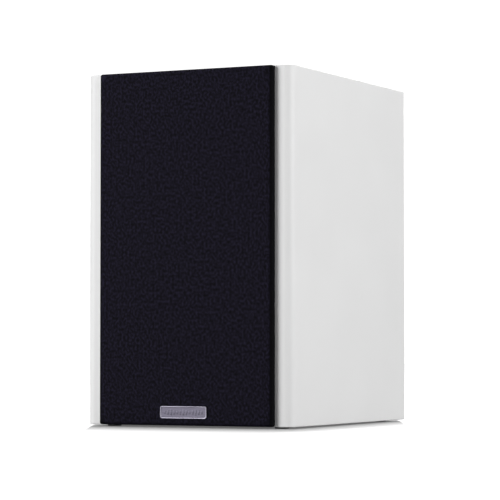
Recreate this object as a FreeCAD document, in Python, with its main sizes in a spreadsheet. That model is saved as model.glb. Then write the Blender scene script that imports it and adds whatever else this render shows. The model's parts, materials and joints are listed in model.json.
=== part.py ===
import FreeCAD, Part
import math
import os

import Sketcher

# Bookshelf loudspeaker: a two-way bass-reflex box with a pull-off cloth grille.
# Row frame: +X to the listener's right, +Y to the back, +Z up. Origin: centre of the
# bounding box on the plane that the feet stand on. Millimetres throughout.

Vector = FreeCAD.Vector

DIMENSIONS = (
    ("cabinet_width", 198.0, "lacquered box, outside"),
    ("cabinet_height", 305.0, "lacquered box, outside"),
    ("cabinet_depth", 246.0, "lacquered box, outside"),
    ("panel_thick", 15.0, "side, top, bottom and rear panels"),
    ("baffle_thick", 18.0, "front panel that carries the drivers"),
    ("edge_radius", 8.0, "two upright front edges"),
    ("edge_break", 1.0, "all the other outside edges"),
    ("foot_height", 1.5, "stick-on rubber pads under the box"),
    ("foot_radius", 6.0, "stick-on rubber pads under the box"),
    ("foot_inset", 18.0, "foot centre to the box's edge"),
    ("grille_margin", 15.8, "lacquer left bare at each side of the grille"),
    ("grille_gap", 0.3, "grille to the box's top and bottom edges"),
    ("grille_proud", 6.5, "cloth face to baffle"),
    ("grille_round", 3.2, "front edge of the grille, over the cloth"),
    ("grille_corner", 4.0, "corner of the grille, over the cloth"),
    ("cloth_thick", 0.5, "knitted grille cloth"),
    ("cloth_hem", 11.0, "cloth folded on to the back of the frame"),
    ("frame_bar", 11.0, "grille frame: sides, top and crossbar"),
    ("frame_rail", 18.0, "grille frame: bottom rail behind the badge"),
    ("crossbar_height", 176.0, "underside of the crossbar over the box's base"),
    ("peg_radius", 3.0, "grille peg"),
    ("peg_reach", 10.0, "grille peg behind the baffle's face"),
    ("peg_inset", 6.5, "peg centre to the grille's edge"),
    ("peg_clearance", 0.1, "peg to the wall of its rubber socket"),
    ("socket_radius", 5.0, "rubber socket, outside"),
    ("socket_depth", 12.0, "rubber socket"),
    ("badge_width", 44.5, "metal badge"),
    ("badge_height", 10.5, "metal badge"),
    ("badge_thick", 1.0, "metal badge, rim"),
    ("badge_level", 11.3, "badge centre over the grille's bottom edge"),
    ("badge_pin_x", 15.0, "badge pin to the badge's centre"),
    ("badge_pin_radius", 1.0, "badge pin"),
    ("woofer_level", 98.0, "woofer centre over the box's base"),
    ("woofer_flange", 73.0, "basket flange, outside radius"),
    ("woofer_cutout", 61.0, "hole in the baffle, radius"),
    ("flange_thick", 4.0, "both drivers' flanges"),
    ("gasket_thick", 0.6, "foam under both flanges and under the terminal cup"),
    ("roll_radius", 4.75, "woofer surround, outside of the half-roll"),
    ("roll_centre", 53.0, "woofer surround, radius at mid-roll"),
    ("basket_depth", 50.0, "front face to the basket's rear seat"),
    ("former_radius", 12.8, "coil former, outside"),
    ("plate_thick", 5.0, "woofer's front and back plates"),
    ("magnet_thick", 15.0, "woofer's ferrite ring"),
    ("magnet_radius", 45.0, "woofer's ferrite ring"),
    ("plate_radius", 40.0, "woofer's front and back plates"),
    ("woofer_screw_circle", 68.3, "radius of the woofer's screw circle"),
    ("tweeter_level", 232.0, "tweeter centre over the box's base"),
    ("tweeter_flange", 47.0, "faceplate, outside radius"),
    ("tweeter_cutout", 38.0, "hole in the baffle, radius"),
    ("tweeter_throat", 17.5, "opening in the faceplate, radius"),
    ("dome_radius", 12.6, "tweeter dome"),
    ("tweeter_screw_circle", 42.4, "radius of the tweeter's screw circle"),
    ("screw_radius", 1.7, "driver screw shank"),
    ("screw_head", 3.3, "driver screw head, radius"),
    ("screw_head_thick", 1.8, "driver screw head"),
    ("port_level", 235.0, "port centre over the box's base"),
    ("port_radius", 20.0, "port bore"),
    ("port_length", 115.0, "port tube inside the box"),
    ("port_flare", 11.0, "port mouth rounding"),
    ("port_flange", 36.0, "port flange, outside radius"),
    ("port_hole", 28.5, "port's hole in the rear panel, radius"),
    ("terminal_level", 85.0, "terminal cup centre over the box's base"),
    ("cup_width", 100.0, "terminal cup's rim plate"),
    ("cup_height", 76.0, "terminal cup's rim plate"),
    ("cup_plate", 2.5, "terminal cup's wall and plate"),
    ("recess_width", 78.0, "terminal recess"),
    ("recess_height", 50.0, "terminal recess"),
    ("recess_depth", 15.0, "terminal recess floor behind the box's rear face"),
    ("post_spacing", 19.05, "between the two binding posts"),
    ("post_radius", 3.5, "binding post, outside"),
    ("stud_radius", 2.9, "binding post's thread behind the terminal cup"),
    ("banana_radius", 2.05, "bore for a 4 mm plug"),
    ("wire_hole_radius", 1.75, "cross hole for bare wire"),
    ("knob_radius", 7.5, "binding post knob"),
    ("knob_proud", 6.0, "knob end behind the box's rear face"),
    ("knob_length", 15.2, "binding post knob"),
    ("collar_radius", 6.2, "fixed collar and sliding washer under each knob"),
    ("collar_thick", 2.0, "fixed collar on the recess floor"),
    ("board_width", 100.0, "crossover board"),
    ("board_depth", 75.0, "crossover board"),
    ("board_thick", 1.6, "crossover board"),
    ("board_gap", 6.0, "crossover board over the bottom panel"),
    ("wadding_thick", 12.0, "polyester wadding on the side walls"),
    ("wire_radius", 0.9, "hook-up wire over its insulation"),
    ("tinsel_radius", 0.4, "braided lead to the voice coil"),
)


class Size:
    """A length that carries both its value and the sheet expression that gives it."""

    def __init__(self, value, text):
        self.value = value
        self.text = text

    @staticmethod
    def of(other):
        if isinstance(other, Size):
            return other
        return Size(float(other), "%.6g" % other)

    def __add__(self, other):
        other = Size.of(other)
        return Size(self.value + other.value, "(%s + %s)" % (self.text, other.text))

    def __sub__(self, other):
        other = Size.of(other)
        return Size(self.value - other.value, "(%s - %s)" % (self.text, other.text))

    def __mul__(self, other):
        other = Size.of(other)
        return Size(self.value * other.value, "(%s * %s)" % (self.text, other.text))

    def __truediv__(self, other):
        other = Size.of(other)
        return Size(self.value / other.value, "(%s / %s)" % (self.text, other.text))

    def __neg__(self):
        return Size.of(0) - self

    def __radd__(self, other):
        return Size.of(other) + self

    def __rsub__(self, other):
        return Size.of(other) - self

    def __rmul__(self, other):
        return Size.of(other) * self


class Dimensions:
    """The spreadsheet of driving dimensions, read by attribute name."""

    def __init__(self, document, rows):
        sheet = document.addObject("Spreadsheet::Sheet", "Dims")
        for number, (alias, value, note) in enumerate(rows, start=1):
            sheet.set("A%d" % number, alias)
            sheet.set("B%d" % number, str(value))
            sheet.setAlias("B%d" % number, alias)
            sheet.set("C%d" % number, note)
            setattr(self, alias, Size(value, "Dims.%s" % alias))


document = FreeCAD.newDocument("BookshelfSpeaker")
dims = Dimensions(document, DIMENSIONS)
document.recompute()

HALF_WIDTH = dims.cabinet_width / 2
FRONT = (dims.grille_proud + dims.badge_thick - dims.cabinet_depth - dims.knob_proud) / 2
REAR = FRONT + dims.cabinet_depth
BASE = dims.foot_height
FLOOR = BASE + dims.panel_thick
GRILLE_HALF = HALF_WIDTH - dims.grille_margin
GRILLE_TOP = dims.cabinet_height - dims.grille_gap
MOTOR_FRONT = -dims.basket_depth
MAGNET_FRONT = MOTOR_FRONT - dims.plate_thick
MAGNET_BACK = MAGNET_FRONT - dims.magnet_thick
SCREW_SEAT = -2.0
PILOT_END = -16.4
DRIVER_LEVELS = {"woofer": dims.woofer_level, "tweeter": dims.tweeter_level}

# Local frames. Forward: x right, y up, z out of the front. Backward: z out of the rear.
FORWARD = FreeCAD.Rotation(Vector(1, 0, 0), 90)
BACKWARD = FreeCAD.Rotation(Vector(0, 0, 1), 180) * FORWARD
UPRIGHT = FreeCAD.Rotation()

# Arcs centred on the axis of revolution: anticlockwise and clockwise.
OVER = "over"
UNDER = "under"

pieces = []


class Piece:
    """One sub-part: a PartDesign body whose sketches are bound to the sheet."""

    def __init__(self, label, rotation, x, y, z):
        self.body = document.addObject("PartDesign::Body", label)
        self.body.Label = label
        self.body.AllowCompound = True
        self.body.Placement = FreeCAD.Placement(Vector(0, 0, 0), rotation)
        for name, size in (("x", x), ("y", y), ("z", z)):
            self.body.setExpression("Placement.Base.%s" % name, Size.of(size).text)
        self.count = 0
        pieces.append(self.body)

    def name(self, kind):
        self.count += 1
        return "%s_%s_%d" % (self.body.Name, kind, self.count)

    def feature(self, kind):
        return self.body.newObject("PartDesign::%s" % kind, self.name(kind))

    def sketch(self, plane, level, outlines, circles):
        """A fully constrained sketch of closed outlines and circles on an origin plane."""
        sketch = self.body.newObject("Sketcher::SketchObject", self.name("Sketch"))
        base = [item for item in self.body.Origin.OriginFeatures if item.Role == plane][0]
        sketch.AttachmentSupport = [(base, "")]
        sketch.MapMode = "FlatFace"
        sketch.setExpression("AttachmentOffset.Base.z", Size.of(level).text)
        for outline in outlines:
            add_outline(sketch, outline)
        for x, y, radius in circles:
            add_circle(sketch, x, y, radius)
        return sketch

    def pad(self, low, high, outlines=(), circles=()):
        """Adds material between two levels along the body's own z."""
        feature = self.feature("Pad")
        feature.Profile = self.sketch("XY_Plane", low, outlines, circles)
        feature.setExpression("Length", (Size.of(high) - low).text)
        return self.finish(feature)

    def pocket(self, low, high, outlines=(), circles=()):
        """Cuts from the upper level down to the lower one along the body's own z."""
        feature = self.feature("Pocket")
        feature.Profile = self.sketch("XY_Plane", high, outlines, circles)
        feature.setExpression("Length", (Size.of(high) - low).text)
        return self.cut(feature)

    def cross_hole(self, z, radius):
        """Drills right through along the body's own y, at height z."""
        feature = self.feature("Pocket")
        feature.Profile = self.sketch("XZ_Plane", 0, (), ((0, z, radius),))
        feature.Type = "ThroughAll"
        feature.Midplane = True
        return self.cut(feature)

    def revolve(self, outline):
        """Turns an outline of (radius, height) points about the body's own z."""
        feature = self.feature("Revolution")
        feature.Profile = self.sketch("XZ_Plane", 0, (outline,), ())
        feature.ReferenceAxis = (feature.Profile[0], ["V_Axis"])
        feature.Angle = 360
        return self.finish(feature)

    def windows(self, outline, angle, count):
        """Grooves a sector out of the body, centred on its y axis, and repeats it round z."""
        groove = self.feature("Groove")
        groove.Profile = self.sketch("YZ_Plane", 0, (outline,), ())
        groove.ReferenceAxis = (groove.Profile[0], ["V_Axis"])
        groove.Angle = angle
        groove.Midplane = True
        self.cut(groove)
        return self.repeat(groove, count)

    def repeat(self, feature, count):
        """Repeats a feature round the body's own z."""
        pattern = self.feature("PolarPattern")
        pattern.Originals = [feature]
        axis = [item for item in self.body.Origin.OriginFeatures if item.Role == "Z_Axis"][0]
        pattern.Axis = (axis, [""])
        pattern.Angle = 360
        pattern.Occurrences = count
        return self.finish(pattern)

    def round_edges(self, radius, wanted):
        """Fillets every edge whose middle point satisfies the test."""
        document.recompute()
        tip = self.body.Tip
        names = []
        for number, edge in enumerate(tip.Shape.Edges, start=1):
            middle = edge.valueAt((edge.FirstParameter + edge.LastParameter) / 2)
            if wanted(middle):
                names.append("Edge%d" % number)
        if not names:
            raise ValueError("no edge to round on %s" % self.body.Label)
        feature = self.feature("Fillet")
        feature.Base = (tip, names)
        feature.setExpression("Radius", Size.of(radius).text)
        return self.finish(feature)

    def hollow(self, thick, wanted):
        """Opens the face whose centre satisfies the test and leaves a wall inside the rest."""
        tip = self.body.Tip
        faces = ["Face%d" % number for number, face in enumerate(tip.Shape.Faces, start=1)
                 if wanted(face.CenterOfMass)]
        feature = self.feature("Thickness")
        feature.Base = (tip, faces)
        feature.setExpression("Value", Size.of(thick).text)
        feature.Reversed = True
        return self.cut(feature)

    def cut(self, feature):
        """Recomputes a subtractive feature and makes sure that it removed something."""
        before = self.body.Shape.Volume
        self.finish(feature)
        if not self.body.Shape.Volume < before - 1e-3:
            raise ValueError("%s cuts nothing" % feature.Label)
        return feature

    def finish(self, feature):
        self.body.Tip = feature
        document.recompute()
        return feature


def add_circle(sketch, x, y, radius):
    """Adds a circle whose centre and radius are bound to the sheet."""
    x, y, radius = Size.of(x), Size.of(y), Size.of(radius)
    circle = Part.Circle(Vector(x.value, y.value, 0), Vector(0, 0, 1), radius.value)
    index = sketch.addGeometry(circle, False)
    constrain(sketch, Sketcher.Constraint("DistanceX", -1, 1, index, 3, x.value), x)
    constrain(sketch, Sketcher.Constraint("DistanceY", -1, 1, index, 3, y.value), y)
    constrain(sketch, Sketcher.Constraint("Radius", index, radius.value), radius)


def add_outline(sketch, outline):
    """Adds a closed outline.

    Each point is (x, y) for a straight side that ends there, or (x, y, radius) for an
    arc that ends there: positive radii turn anticlockwise, negative ones clockwise. A
    radius of OVER or UNDER is an arc centred on the y axis, so it revolves to a sphere.
    """
    points = [(Size.of(point[0]), Size.of(point[1])) for point in outline]
    starts = []
    ends = []
    for number, point in enumerate(outline):
        head = points[number]
        tail = points[number - 1]
        a = Vector(tail[0].value, tail[1].value, 0)
        b = Vector(head[0].value, head[1].value, 0)
        if len(point) == 2:
            index = sketch.addGeometry(Part.LineSegment(a, b), False)
            starts.append((index, 1))
            ends.append((index, 2))
            continue
        on_axis = point[2] in (OVER, UNDER)
        radius = Size.of(axial_radius(a, b, point[2]) if on_axis else point[2])
        index = sketch.addGeometry(arc_between(a, b, radius.value), False)
        forwards = radius.value > 0
        starts.append((index, 1 if forwards else 2))
        ends.append((index, 2 if forwards else 1))
        if on_axis:
            sketch.addConstraint(Sketcher.Constraint("PointOnObject", index, 3, -2))
            continue
        bound = radius if forwards else -radius
        constrain(sketch, Sketcher.Constraint("Radius", index, bound.value), bound)
    for number, (x, y) in enumerate(points):
        index, end = ends[number]
        following = starts[(number + 1) % len(points)]
        sketch.addConstraint(Sketcher.Constraint("Coincident", index, end, *following))
        constrain(sketch, Sketcher.Constraint("DistanceX", -1, 1, index, end, x.value), x)
        constrain(sketch, Sketcher.Constraint("DistanceY", -1, 1, index, end, y.value), y)


def axial_radius(a, b, turn):
    """The radius of the arc from a to b whose centre is on the y axis, signed by its turn."""
    level = (a.x ** 2 + a.y ** 2 - b.x ** 2 - b.y ** 2) / (2 * (a.y - b.y))
    radius = math.hypot(a.x, a.y - level)
    return radius if turn == OVER else -radius


def arc_between(a, b, radius):
    """The shorter arc from a to b; a positive radius turns anticlockwise."""
    chord = b - a
    rise = math.sqrt(max(radius * radius - chord.Length ** 2 / 4, 0.0))
    left = Vector(-chord.y, chord.x, 0).normalize()
    centre = (a + b) * 0.5 + left * math.copysign(rise, radius)
    first, last = (a, b) if radius > 0 else (b, a)
    angles = [math.atan2(point.y - centre.y, point.x - centre.x) for point in (first, last)]
    circle = Part.Circle(centre, Vector(0, 0, 1), abs(radius))
    return Part.ArcOfCircle(circle, angles[0], angles[1])


def constrain(sketch, constraint, size):
    index = sketch.addConstraint(constraint)
    if "Dims." in size.text:
        sketch.setExpression("Constraints[%d]" % index, size.text)


def rectangle(left, bottom, right, top):
    return ((left, bottom), (right, bottom), (right, top), (left, top))


def rounded_rectangle(left, bottom, right, top, radius):
    left, bottom, right, top = [Size.of(side) for side in (left, bottom, right, top)]
    return (
        (left + radius, bottom),
        (right - radius, bottom),
        (right, bottom + radius, radius),
        (right, top - radius),
        (right - radius, top, radius),
        (left + radius, top),
        (left, top - radius, radius),
        (left, bottom + radius),
        (left + radius, bottom, radius),
    )[1:]


def ring(inner, outer, low, high):
    """The outline of a plain ring, for revolving."""
    return ((inner, low), (outer, low), (outer, high), (inner, high))


def circle_of_holes(count, circle, start_angle, radius, y=0.0):
    """Circles evenly spaced round (0, y)."""
    holes = []
    for number in range(count):
        angle = math.radians(start_angle + 360.0 * number / count)
        holes.append((circle * math.cos(angle), circle * math.sin(angle) + y, radius))
    return holes


def corners(x, low, high, radius):
    """One circle near each corner of an upright rectangle that is centred on x = 0."""
    return [(side * x, level, radius) for side in (-1, 1) for level in (low, high)]


def near(value, target):
    return abs(value - Size.of(target).value) < 1e-3


# ---------------------------------------------------------------- cabinet


def cabinet_piece(label):
    return Piece(label, FORWARD, 0, FRONT, BASE)


def woofer_screw_holes(radius, y=0.0):
    return circle_of_holes(6, dims.woofer_screw_circle, 0, radius, y)


def tweeter_screw_holes(radius, y=0.0):
    return circle_of_holes(4, dims.tweeter_screw_circle, 45, radius, y)


def peg_circles(radius):
    """Peg centres, as seen on the baffle."""
    x = GRILLE_HALF - dims.peg_inset
    return corners(x, dims.grille_gap + dims.peg_inset, GRILLE_TOP - dims.peg_inset, radius)


def front_baffle():
    piece = cabinet_piece("front_baffle")
    back = -dims.baffle_thick
    top = dims.cabinet_height
    rebate = -(dims.flange_thick + dims.gasket_thick)
    flange_gap = 0.3
    piece.pad(back, 0, [rectangle(-HALF_WIDTH, 0, HALF_WIDTH, top)])
    piece.round_edges(
        dims.edge_radius, lambda p: near(p.z, 0) and near(abs(p.x), HALF_WIDTH)
    )
    piece.round_edges(
        dims.edge_break, lambda p: (near(p.y, 0) or near(p.y, top)) and not near(p.z, back)
    )
    piece.pocket(rebate, 0, circles=[
        (0, dims.woofer_level, dims.woofer_flange + flange_gap),
        (0, dims.tweeter_level, dims.tweeter_flange + flange_gap),
    ])
    piece.pocket(back, rebate, circles=[
        (0, dims.woofer_level, dims.woofer_cutout),
        (0, dims.tweeter_level, dims.tweeter_cutout),
    ])
    piece.pocket(-dims.socket_depth, 0, circles=peg_circles(dims.socket_radius))
    pilots = woofer_screw_holes(dims.screw_radius, dims.woofer_level)
    pilots += tweeter_screw_holes(dims.screw_radius, dims.tweeter_level)
    piece.pocket(PILOT_END, rebate, circles=pilots)


def mitred_panel(label, turn):
    """A wrap panel, mitred on both long edges, behind the baffle.

    turn maps (along, out) to the panel's own (x, y): along runs between the mitres and
    out points away from the box's axis.
    """
    piece = cabinet_piece(label)
    upright = label.endswith("side_panel")
    half_long = dims.cabinet_height / 2 if upright else HALF_WIDTH
    half_out = HALF_WIDTH if upright else dims.cabinet_height / 2
    inner = half_out - dims.panel_thick
    share = dims.edge_break * (1 - math.sqrt(0.5))
    outline = (
        turn(half_long - dims.panel_thick, inner),
        turn(half_long - share, half_out - share),
        turn(half_long - dims.edge_break, half_out) + (dims.edge_break,),
        turn(dims.edge_break - half_long, half_out),
        turn(share - half_long, half_out - share) + (dims.edge_break,),
        turn(dims.panel_thick - half_long, inner),
    )
    piece.pad(-dims.cabinet_depth, -dims.baffle_thick, [outline])


def wrap_panels():
    middle = dims.cabinet_height / 2
    mitred_panel("right_side_panel", lambda along, out: (out, middle - along))
    mitred_panel("left_side_panel", lambda along, out: (-out, middle + along))
    mitred_panel("top_panel", lambda along, out: (along, middle + out))
    mitred_panel("bottom_panel", lambda along, out: (-along, middle - out))


def cup_screw_circles(radius, y=0.0):
    x = dims.cup_width / 2 - 6
    rise = dims.cup_height / 2 - 6
    return corners(x, y - rise, y + rise, radius)


def rear_panel():
    piece = cabinet_piece("rear_panel")
    half = HALF_WIDTH - dims.panel_thick
    back = -dims.cabinet_depth
    inside = back + dims.panel_thick
    cut_half = dims.recess_width / 2 + dims.cup_plate + 0.5
    cut_rise = dims.recess_height / 2 + dims.cup_plate + 0.5
    piece.pad(back, inside, [
        rectangle(-half, dims.panel_thick, half, dims.cabinet_height - dims.panel_thick)
    ])
    piece.pocket(
        back, inside,
        [rounded_rectangle(-cut_half, dims.terminal_level - cut_rise,
                           cut_half, dims.terminal_level + cut_rise, 4)],
        [(0, dims.port_level, dims.port_hole)],
    )
    piece.pocket(back, back + 12, circles=cup_screw_circles(1.5, dims.terminal_level))


def feet():
    piece = Piece("feet", UPRIGHT, 0, 0, 0)
    x = HALF_WIDTH - dims.foot_inset
    piece.pad(0, dims.foot_height, circles=corners(
        x, FRONT + dims.foot_inset, REAR - dims.foot_inset, dims.foot_radius
    ))
    piece.round_edges(0.4, lambda p: near(p.z, 0))


def side_wadding():
    wall = HALF_WIDTH - dims.panel_thick
    face = wall - dims.wadding_thick
    front = -dims.baffle_thick - 8
    back = dims.panel_thick + 8 - dims.cabinet_depth
    piece = cabinet_piece("side_wadding")
    for low, high in ((-wall, -face), (face, wall)):
        piece.pad(back, front, [rounded_rectangle(low, 30, high, 276, 2)])


# ---------------------------------------------------------------- woofer


def driver_piece(label, driver):
    return Piece(label, FORWARD, 0, FRONT, BASE + DRIVER_LEVELS[driver])


def woofer_basket():
    piece = driver_piece("woofer_basket", "woofer")
    seat = MOTOR_FRONT + 2.5
    flange = dims.woofer_flange
    land = flange - 9.5
    mouth = flange - 14.5
    heel = 48.5
    spider_seat = -35
    piece.revolve((
        (mouth, -2.2), (land, -2.2), (land, 0), (flange, 0),
        (flange, -dims.flange_thick), (dims.woofer_cutout - 0.5, -dims.flange_thick),
        (heel, MOTOR_FRONT + 4), (heel, MOTOR_FRONT), (21, MOTOR_FRONT), (21, seat),
        (44, seat), (44, spider_seat - 2.5), (41, spider_seat - 2.5), (41, spider_seat),
        (50, spider_seat), (mouth, -6),
    ))
    piece.windows(rectangle(50.2, -33, 62, -10), 42, 6)
    piece.pocket(SCREW_SEAT, 0, circles=woofer_screw_holes(dims.screw_head + 0.3))
    piece.pocket(-dims.flange_thick, SCREW_SEAT,
                 circles=woofer_screw_holes(dims.screw_radius + 0.3))


def flange_gasket(label, driver, inner, outer, holes):
    piece = driver_piece(label, driver)
    top = -dims.flange_thick
    piece.revolve(ring(inner, outer, top - dims.gasket_thick, top))
    piece.pocket(top - dims.gasket_thick, top, circles=holes)


def woofer_surround():
    piece = driver_piece("woofer_surround", "woofer")
    middle = dims.roll_centre
    outer_roll = dims.roll_radius
    inner_roll = dims.roll_radius - 0.5
    piece.revolve((
        (63.2, -2.2), (63.2, -1.7), (middle + 4.5, -1.7),
        (middle - 4.5, -1.7, outer_roll), (45.5, -1.7), (45.5, -2.2),
        (middle - 4.126, -2.2), (middle + 4.126, -2.2, -inner_roll),
    ))


def woofer_trim_ring():
    piece = driver_piece("woofer_trim_ring", "woofer")
    piece.revolve(((58.6, -1.7), (63.3, -1.7), (63.3, 0.4), (62.3, 1), (58.6, -1.0)))


def woofer_cone():
    piece = driver_piece("woofer_cone", "woofer")
    piece.revolve((
        (dims.former_radius, -27.4), (45.3, -2.2), (48.8, -2.2),
        (48.8, -3), (45.6, -3), (dims.former_radius, -28.6),
    )[::-1])


def woofer_dust_cap():
    piece = driver_piece("woofer_dust_cap", "woofer")
    piece.revolve(((0, -18, OVER), (0, -17.5), (17.2, -23.9, UNDER), (16.6, -24.3)))


def woofer_coil():
    former = driver_piece("woofer_coil_former", "woofer")
    former.revolve(ring(dims.former_radius - 0.3, dims.former_radius, -64, -25.5))
    coil = driver_piece("woofer_voice_coil", "woofer")
    coil.revolve(ring(dims.former_radius, dims.former_radius + 0.6, -60, -45))


def woofer_spider():
    """A disc of ten corrugations between the coil former and the basket's ledge."""
    piece = driver_piece("woofer_spider", "woofer")
    thick = 0.5
    swing = 1.1
    ridges = [(15.5 + 2.5 * number, swing * (-1) ** number) for number in range(11)]
    lower = [(dims.former_radius, -35), (14, -35)]
    lower += [(radius, -35 + rise) for radius, rise in ridges]
    lower += [(42, -35), (49.5, -35)]
    upper = [(radius, height + thick) for radius, height in reversed(lower)]
    piece.revolve(tuple(lower + upper))


def woofer_motor():
    front_plate = driver_piece("woofer_top_plate", "woofer")
    gap = dims.former_radius + 1.1
    front_plate.revolve(ring(gap, dims.plate_radius, MAGNET_FRONT, MOTOR_FRONT))
    magnet = driver_piece("woofer_magnet", "woofer")
    edge = 1.5
    rim = dims.magnet_radius
    magnet.revolve((
        (19, MAGNET_BACK), (rim - edge, MAGNET_BACK), (rim, MAGNET_BACK + edge),
        (rim, MAGNET_FRONT - edge), (rim - edge, MAGNET_FRONT), (19, MAGNET_FRONT),
    ))
    yoke = driver_piece("woofer_yoke", "woofer")
    pole = dims.former_radius - 0.6
    back = MAGNET_BACK - dims.plate_thick
    plate = dims.plate_radius
    yoke.revolve((
        (0, back), (plate - edge, back), (plate, back + edge), (plate, MAGNET_BACK),
        (pole, MAGNET_BACK), (pole, MOTOR_FRONT), (0, MOTOR_FRONT),
    ))


def woofer_terminal_strip():
    piece = driver_piece("woofer_terminal_strip", "woofer")
    piece.pad(-52, -40, [rectangle(-9, -53, 9, -51.4)])
    piece.pad(-50, -46.5, [rectangle(-4, -51.4, 4, -48.5)])


def driver_tabs():
    """The brass push-on tabs of both drivers."""
    piece = Piece("driver_tabs", FORWARD, 0, FRONT, BASE)
    woofer = dims.woofer_level
    tweeter = dims.tweeter_level
    for side in (-1, 1):
        inner, outer = sorted((side * 3.5, side * 6.5))
        piece.pad(-54, -38, [rectangle(inner, woofer - 53.8, outer, woofer - 53)])
    for side in (-1, 1):
        inner, outer = sorted((side * 6.5, side * 9.5))
        piece.pad(-33, -26, [rectangle(inner, tweeter - 20.4, outer, tweeter - 19.6)])


def driver_screws():
    """Pan-head screws, sunk in the counterbores of both drivers' flanges."""
    piece = Piece("driver_screws", FORWARD, 0, FRONT, BASE)
    heads = woofer_screw_holes(dims.screw_head, dims.woofer_level)
    heads += tweeter_screw_holes(dims.screw_head, dims.tweeter_level)
    shanks = [(x, y, dims.screw_radius) for x, y, _ in heads]
    piece.pad(PILOT_END, SCREW_SEAT, circles=shanks)
    piece.pad(SCREW_SEAT, SCREW_SEAT + dims.screw_head_thick, circles=heads)
    drive = [(x, y, 1.1) for x, y, _ in heads]
    top = SCREW_SEAT + dims.screw_head_thick
    piece.pocket(top - 1, top, circles=drive)


# ---------------------------------------------------------------- tweeter


def tweeter_faceplate():
    piece = driver_piece("tweeter_faceplate", "tweeter")
    rim = dims.tweeter_flange
    back = -dims.flange_thick
    piece.revolve((
        (dims.tweeter_throat, back), (rim, back), (rim, -0.6), (rim - 0.6, 0, 0.6),
        (30, 0), (dims.tweeter_throat, -2.6, 31.35),
    ))
    piece.pocket(SCREW_SEAT, 0, circles=tweeter_screw_holes(dims.screw_head + 0.3))
    piece.pocket(back, SCREW_SEAT, circles=tweeter_screw_holes(dims.screw_radius + 0.3))


def tweeter_dome():
    dome = driver_piece("tweeter_dome", "tweeter")
    dome.revolve((
        (0, 0.85, OVER), (0, 1.2), (dims.dome_radius, -4.1, UNDER),
        (dims.dome_radius - 0.4, -4.4),
    ))
    surround = driver_piece("tweeter_surround", "tweeter")
    inner = dims.dome_radius + 0.05
    outer = inner + 4.2
    surround.revolve((
        (outer + 2.6, -4.4), (outer + 2.6, -4.05), (outer, -4.05), (inner, -4.05, 2.25),
        (inner, -4.4), (inner + 0.35, -4.4), (outer - 0.35, -4.4, -2.0),
    ))
    coil = driver_piece("tweeter_voice_coil", "tweeter")
    coil.revolve(ring(dims.dome_radius - 0.35, dims.dome_radius + 0.15, -10, -4.45))


def tweeter_motor():
    front_plate = driver_piece("tweeter_top_plate", "tweeter")
    front_plate.revolve(ring(dims.dome_radius + 0.5, 36, -8.4, -4.4))
    magnet = driver_piece("tweeter_magnet", "tweeter")
    magnet.revolve(ring(17, 33.5, -18.4, -8.4))
    yoke = driver_piece("tweeter_yoke", "tweeter")
    pole = dims.dome_radius - 0.7
    yoke.revolve((
        (0, -22.4), (32, -22.4), (32, -18.4), (pole, -18.4), (pole, -5), (0, -5),
    ))
    cup = driver_piece("tweeter_rear_cup", "tweeter")
    cup.revolve((
        (0, -26), (35, -26), (36, -25, 1), (36, -8.4), (34.3, -8.4), (34.3, -24.5), (0, -24.5),
    ))


# ---------------------------------------------------------------- rear fittings


def port_tube():
    piece = Piece("port_tube", BACKWARD, 0, REAR, BASE + dims.port_level)
    lip = 2.0
    bore = dims.port_radius
    flare = dims.port_flare
    wall = bore + 2.5
    piece.revolve((
        (bore, -dims.port_length), (wall, -dims.port_length), (wall, -14),
        (dims.port_hole, -6), (dims.port_hole, 0), (dims.port_flange, 0),
        (dims.port_flange, lip - 1), (dims.port_flange - 1, lip, 1),
        (bore + flare, lip), (bore, lip - flare, flare),
    ))


def cup_frame(label):
    return Piece(label, BACKWARD, 0, REAR, BASE + dims.terminal_level)


def centred(width, height, radius):
    return rounded_rectangle(-width / 2, -height / 2, width / 2, height / 2, radius)


def terminal_cup():
    piece = cup_frame("terminal_cup")
    seat = dims.gasket_thick
    face = seat + dims.cup_plate
    floor = -dims.recess_depth
    wall = dims.cup_plate * 2
    piece.pad(seat, face, [centred(dims.cup_width, dims.cup_height, 6)])
    piece.round_edges(1, lambda p: near(p.z, face))
    piece.pad(floor - dims.cup_plate, seat,
              [centred(dims.recess_width + wall, dims.recess_height + wall, 4)])
    piece.pocket(floor, face, [centred(dims.recess_width, dims.recess_height, 3)])
    holes = [(side * dims.post_spacing / 2, 0, 3) for side in (-1, 1)]
    piece.pocket(floor - dims.cup_plate, floor, circles=holes)
    piece.pocket(seat, face, circles=cup_screw_circles(1.8))


def terminal_cup_gasket():
    piece = cup_frame("terminal_cup_gasket")
    wall = dims.cup_plate * 2
    piece.pad(0, dims.gasket_thick, [centred(dims.cup_width - 2, dims.cup_height - 2, 5)])
    piece.pocket(0, dims.gasket_thick,
                 [centred(dims.recess_width + wall, dims.recess_height + wall, 4)])
    piece.pocket(0, dims.gasket_thick, circles=cup_screw_circles(1.8))


def terminal_screws():
    piece = cup_frame("terminal_screws")
    face = dims.gasket_thick + dims.cup_plate
    piece.pad(-12, face, circles=cup_screw_circles(1.5))
    piece.pad(face, face + 1.6, circles=cup_screw_circles(3))
    piece.pocket(face + 0.7, face + 1.6, circles=cup_screw_circles(1))


def post_frame(label, side):
    """A binding post's own frame; side is +1 to the right as seen from behind."""
    return Piece(label, BACKWARD, -side * dims.post_spacing / 2, REAR,
                 BASE + dims.terminal_level)


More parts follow.
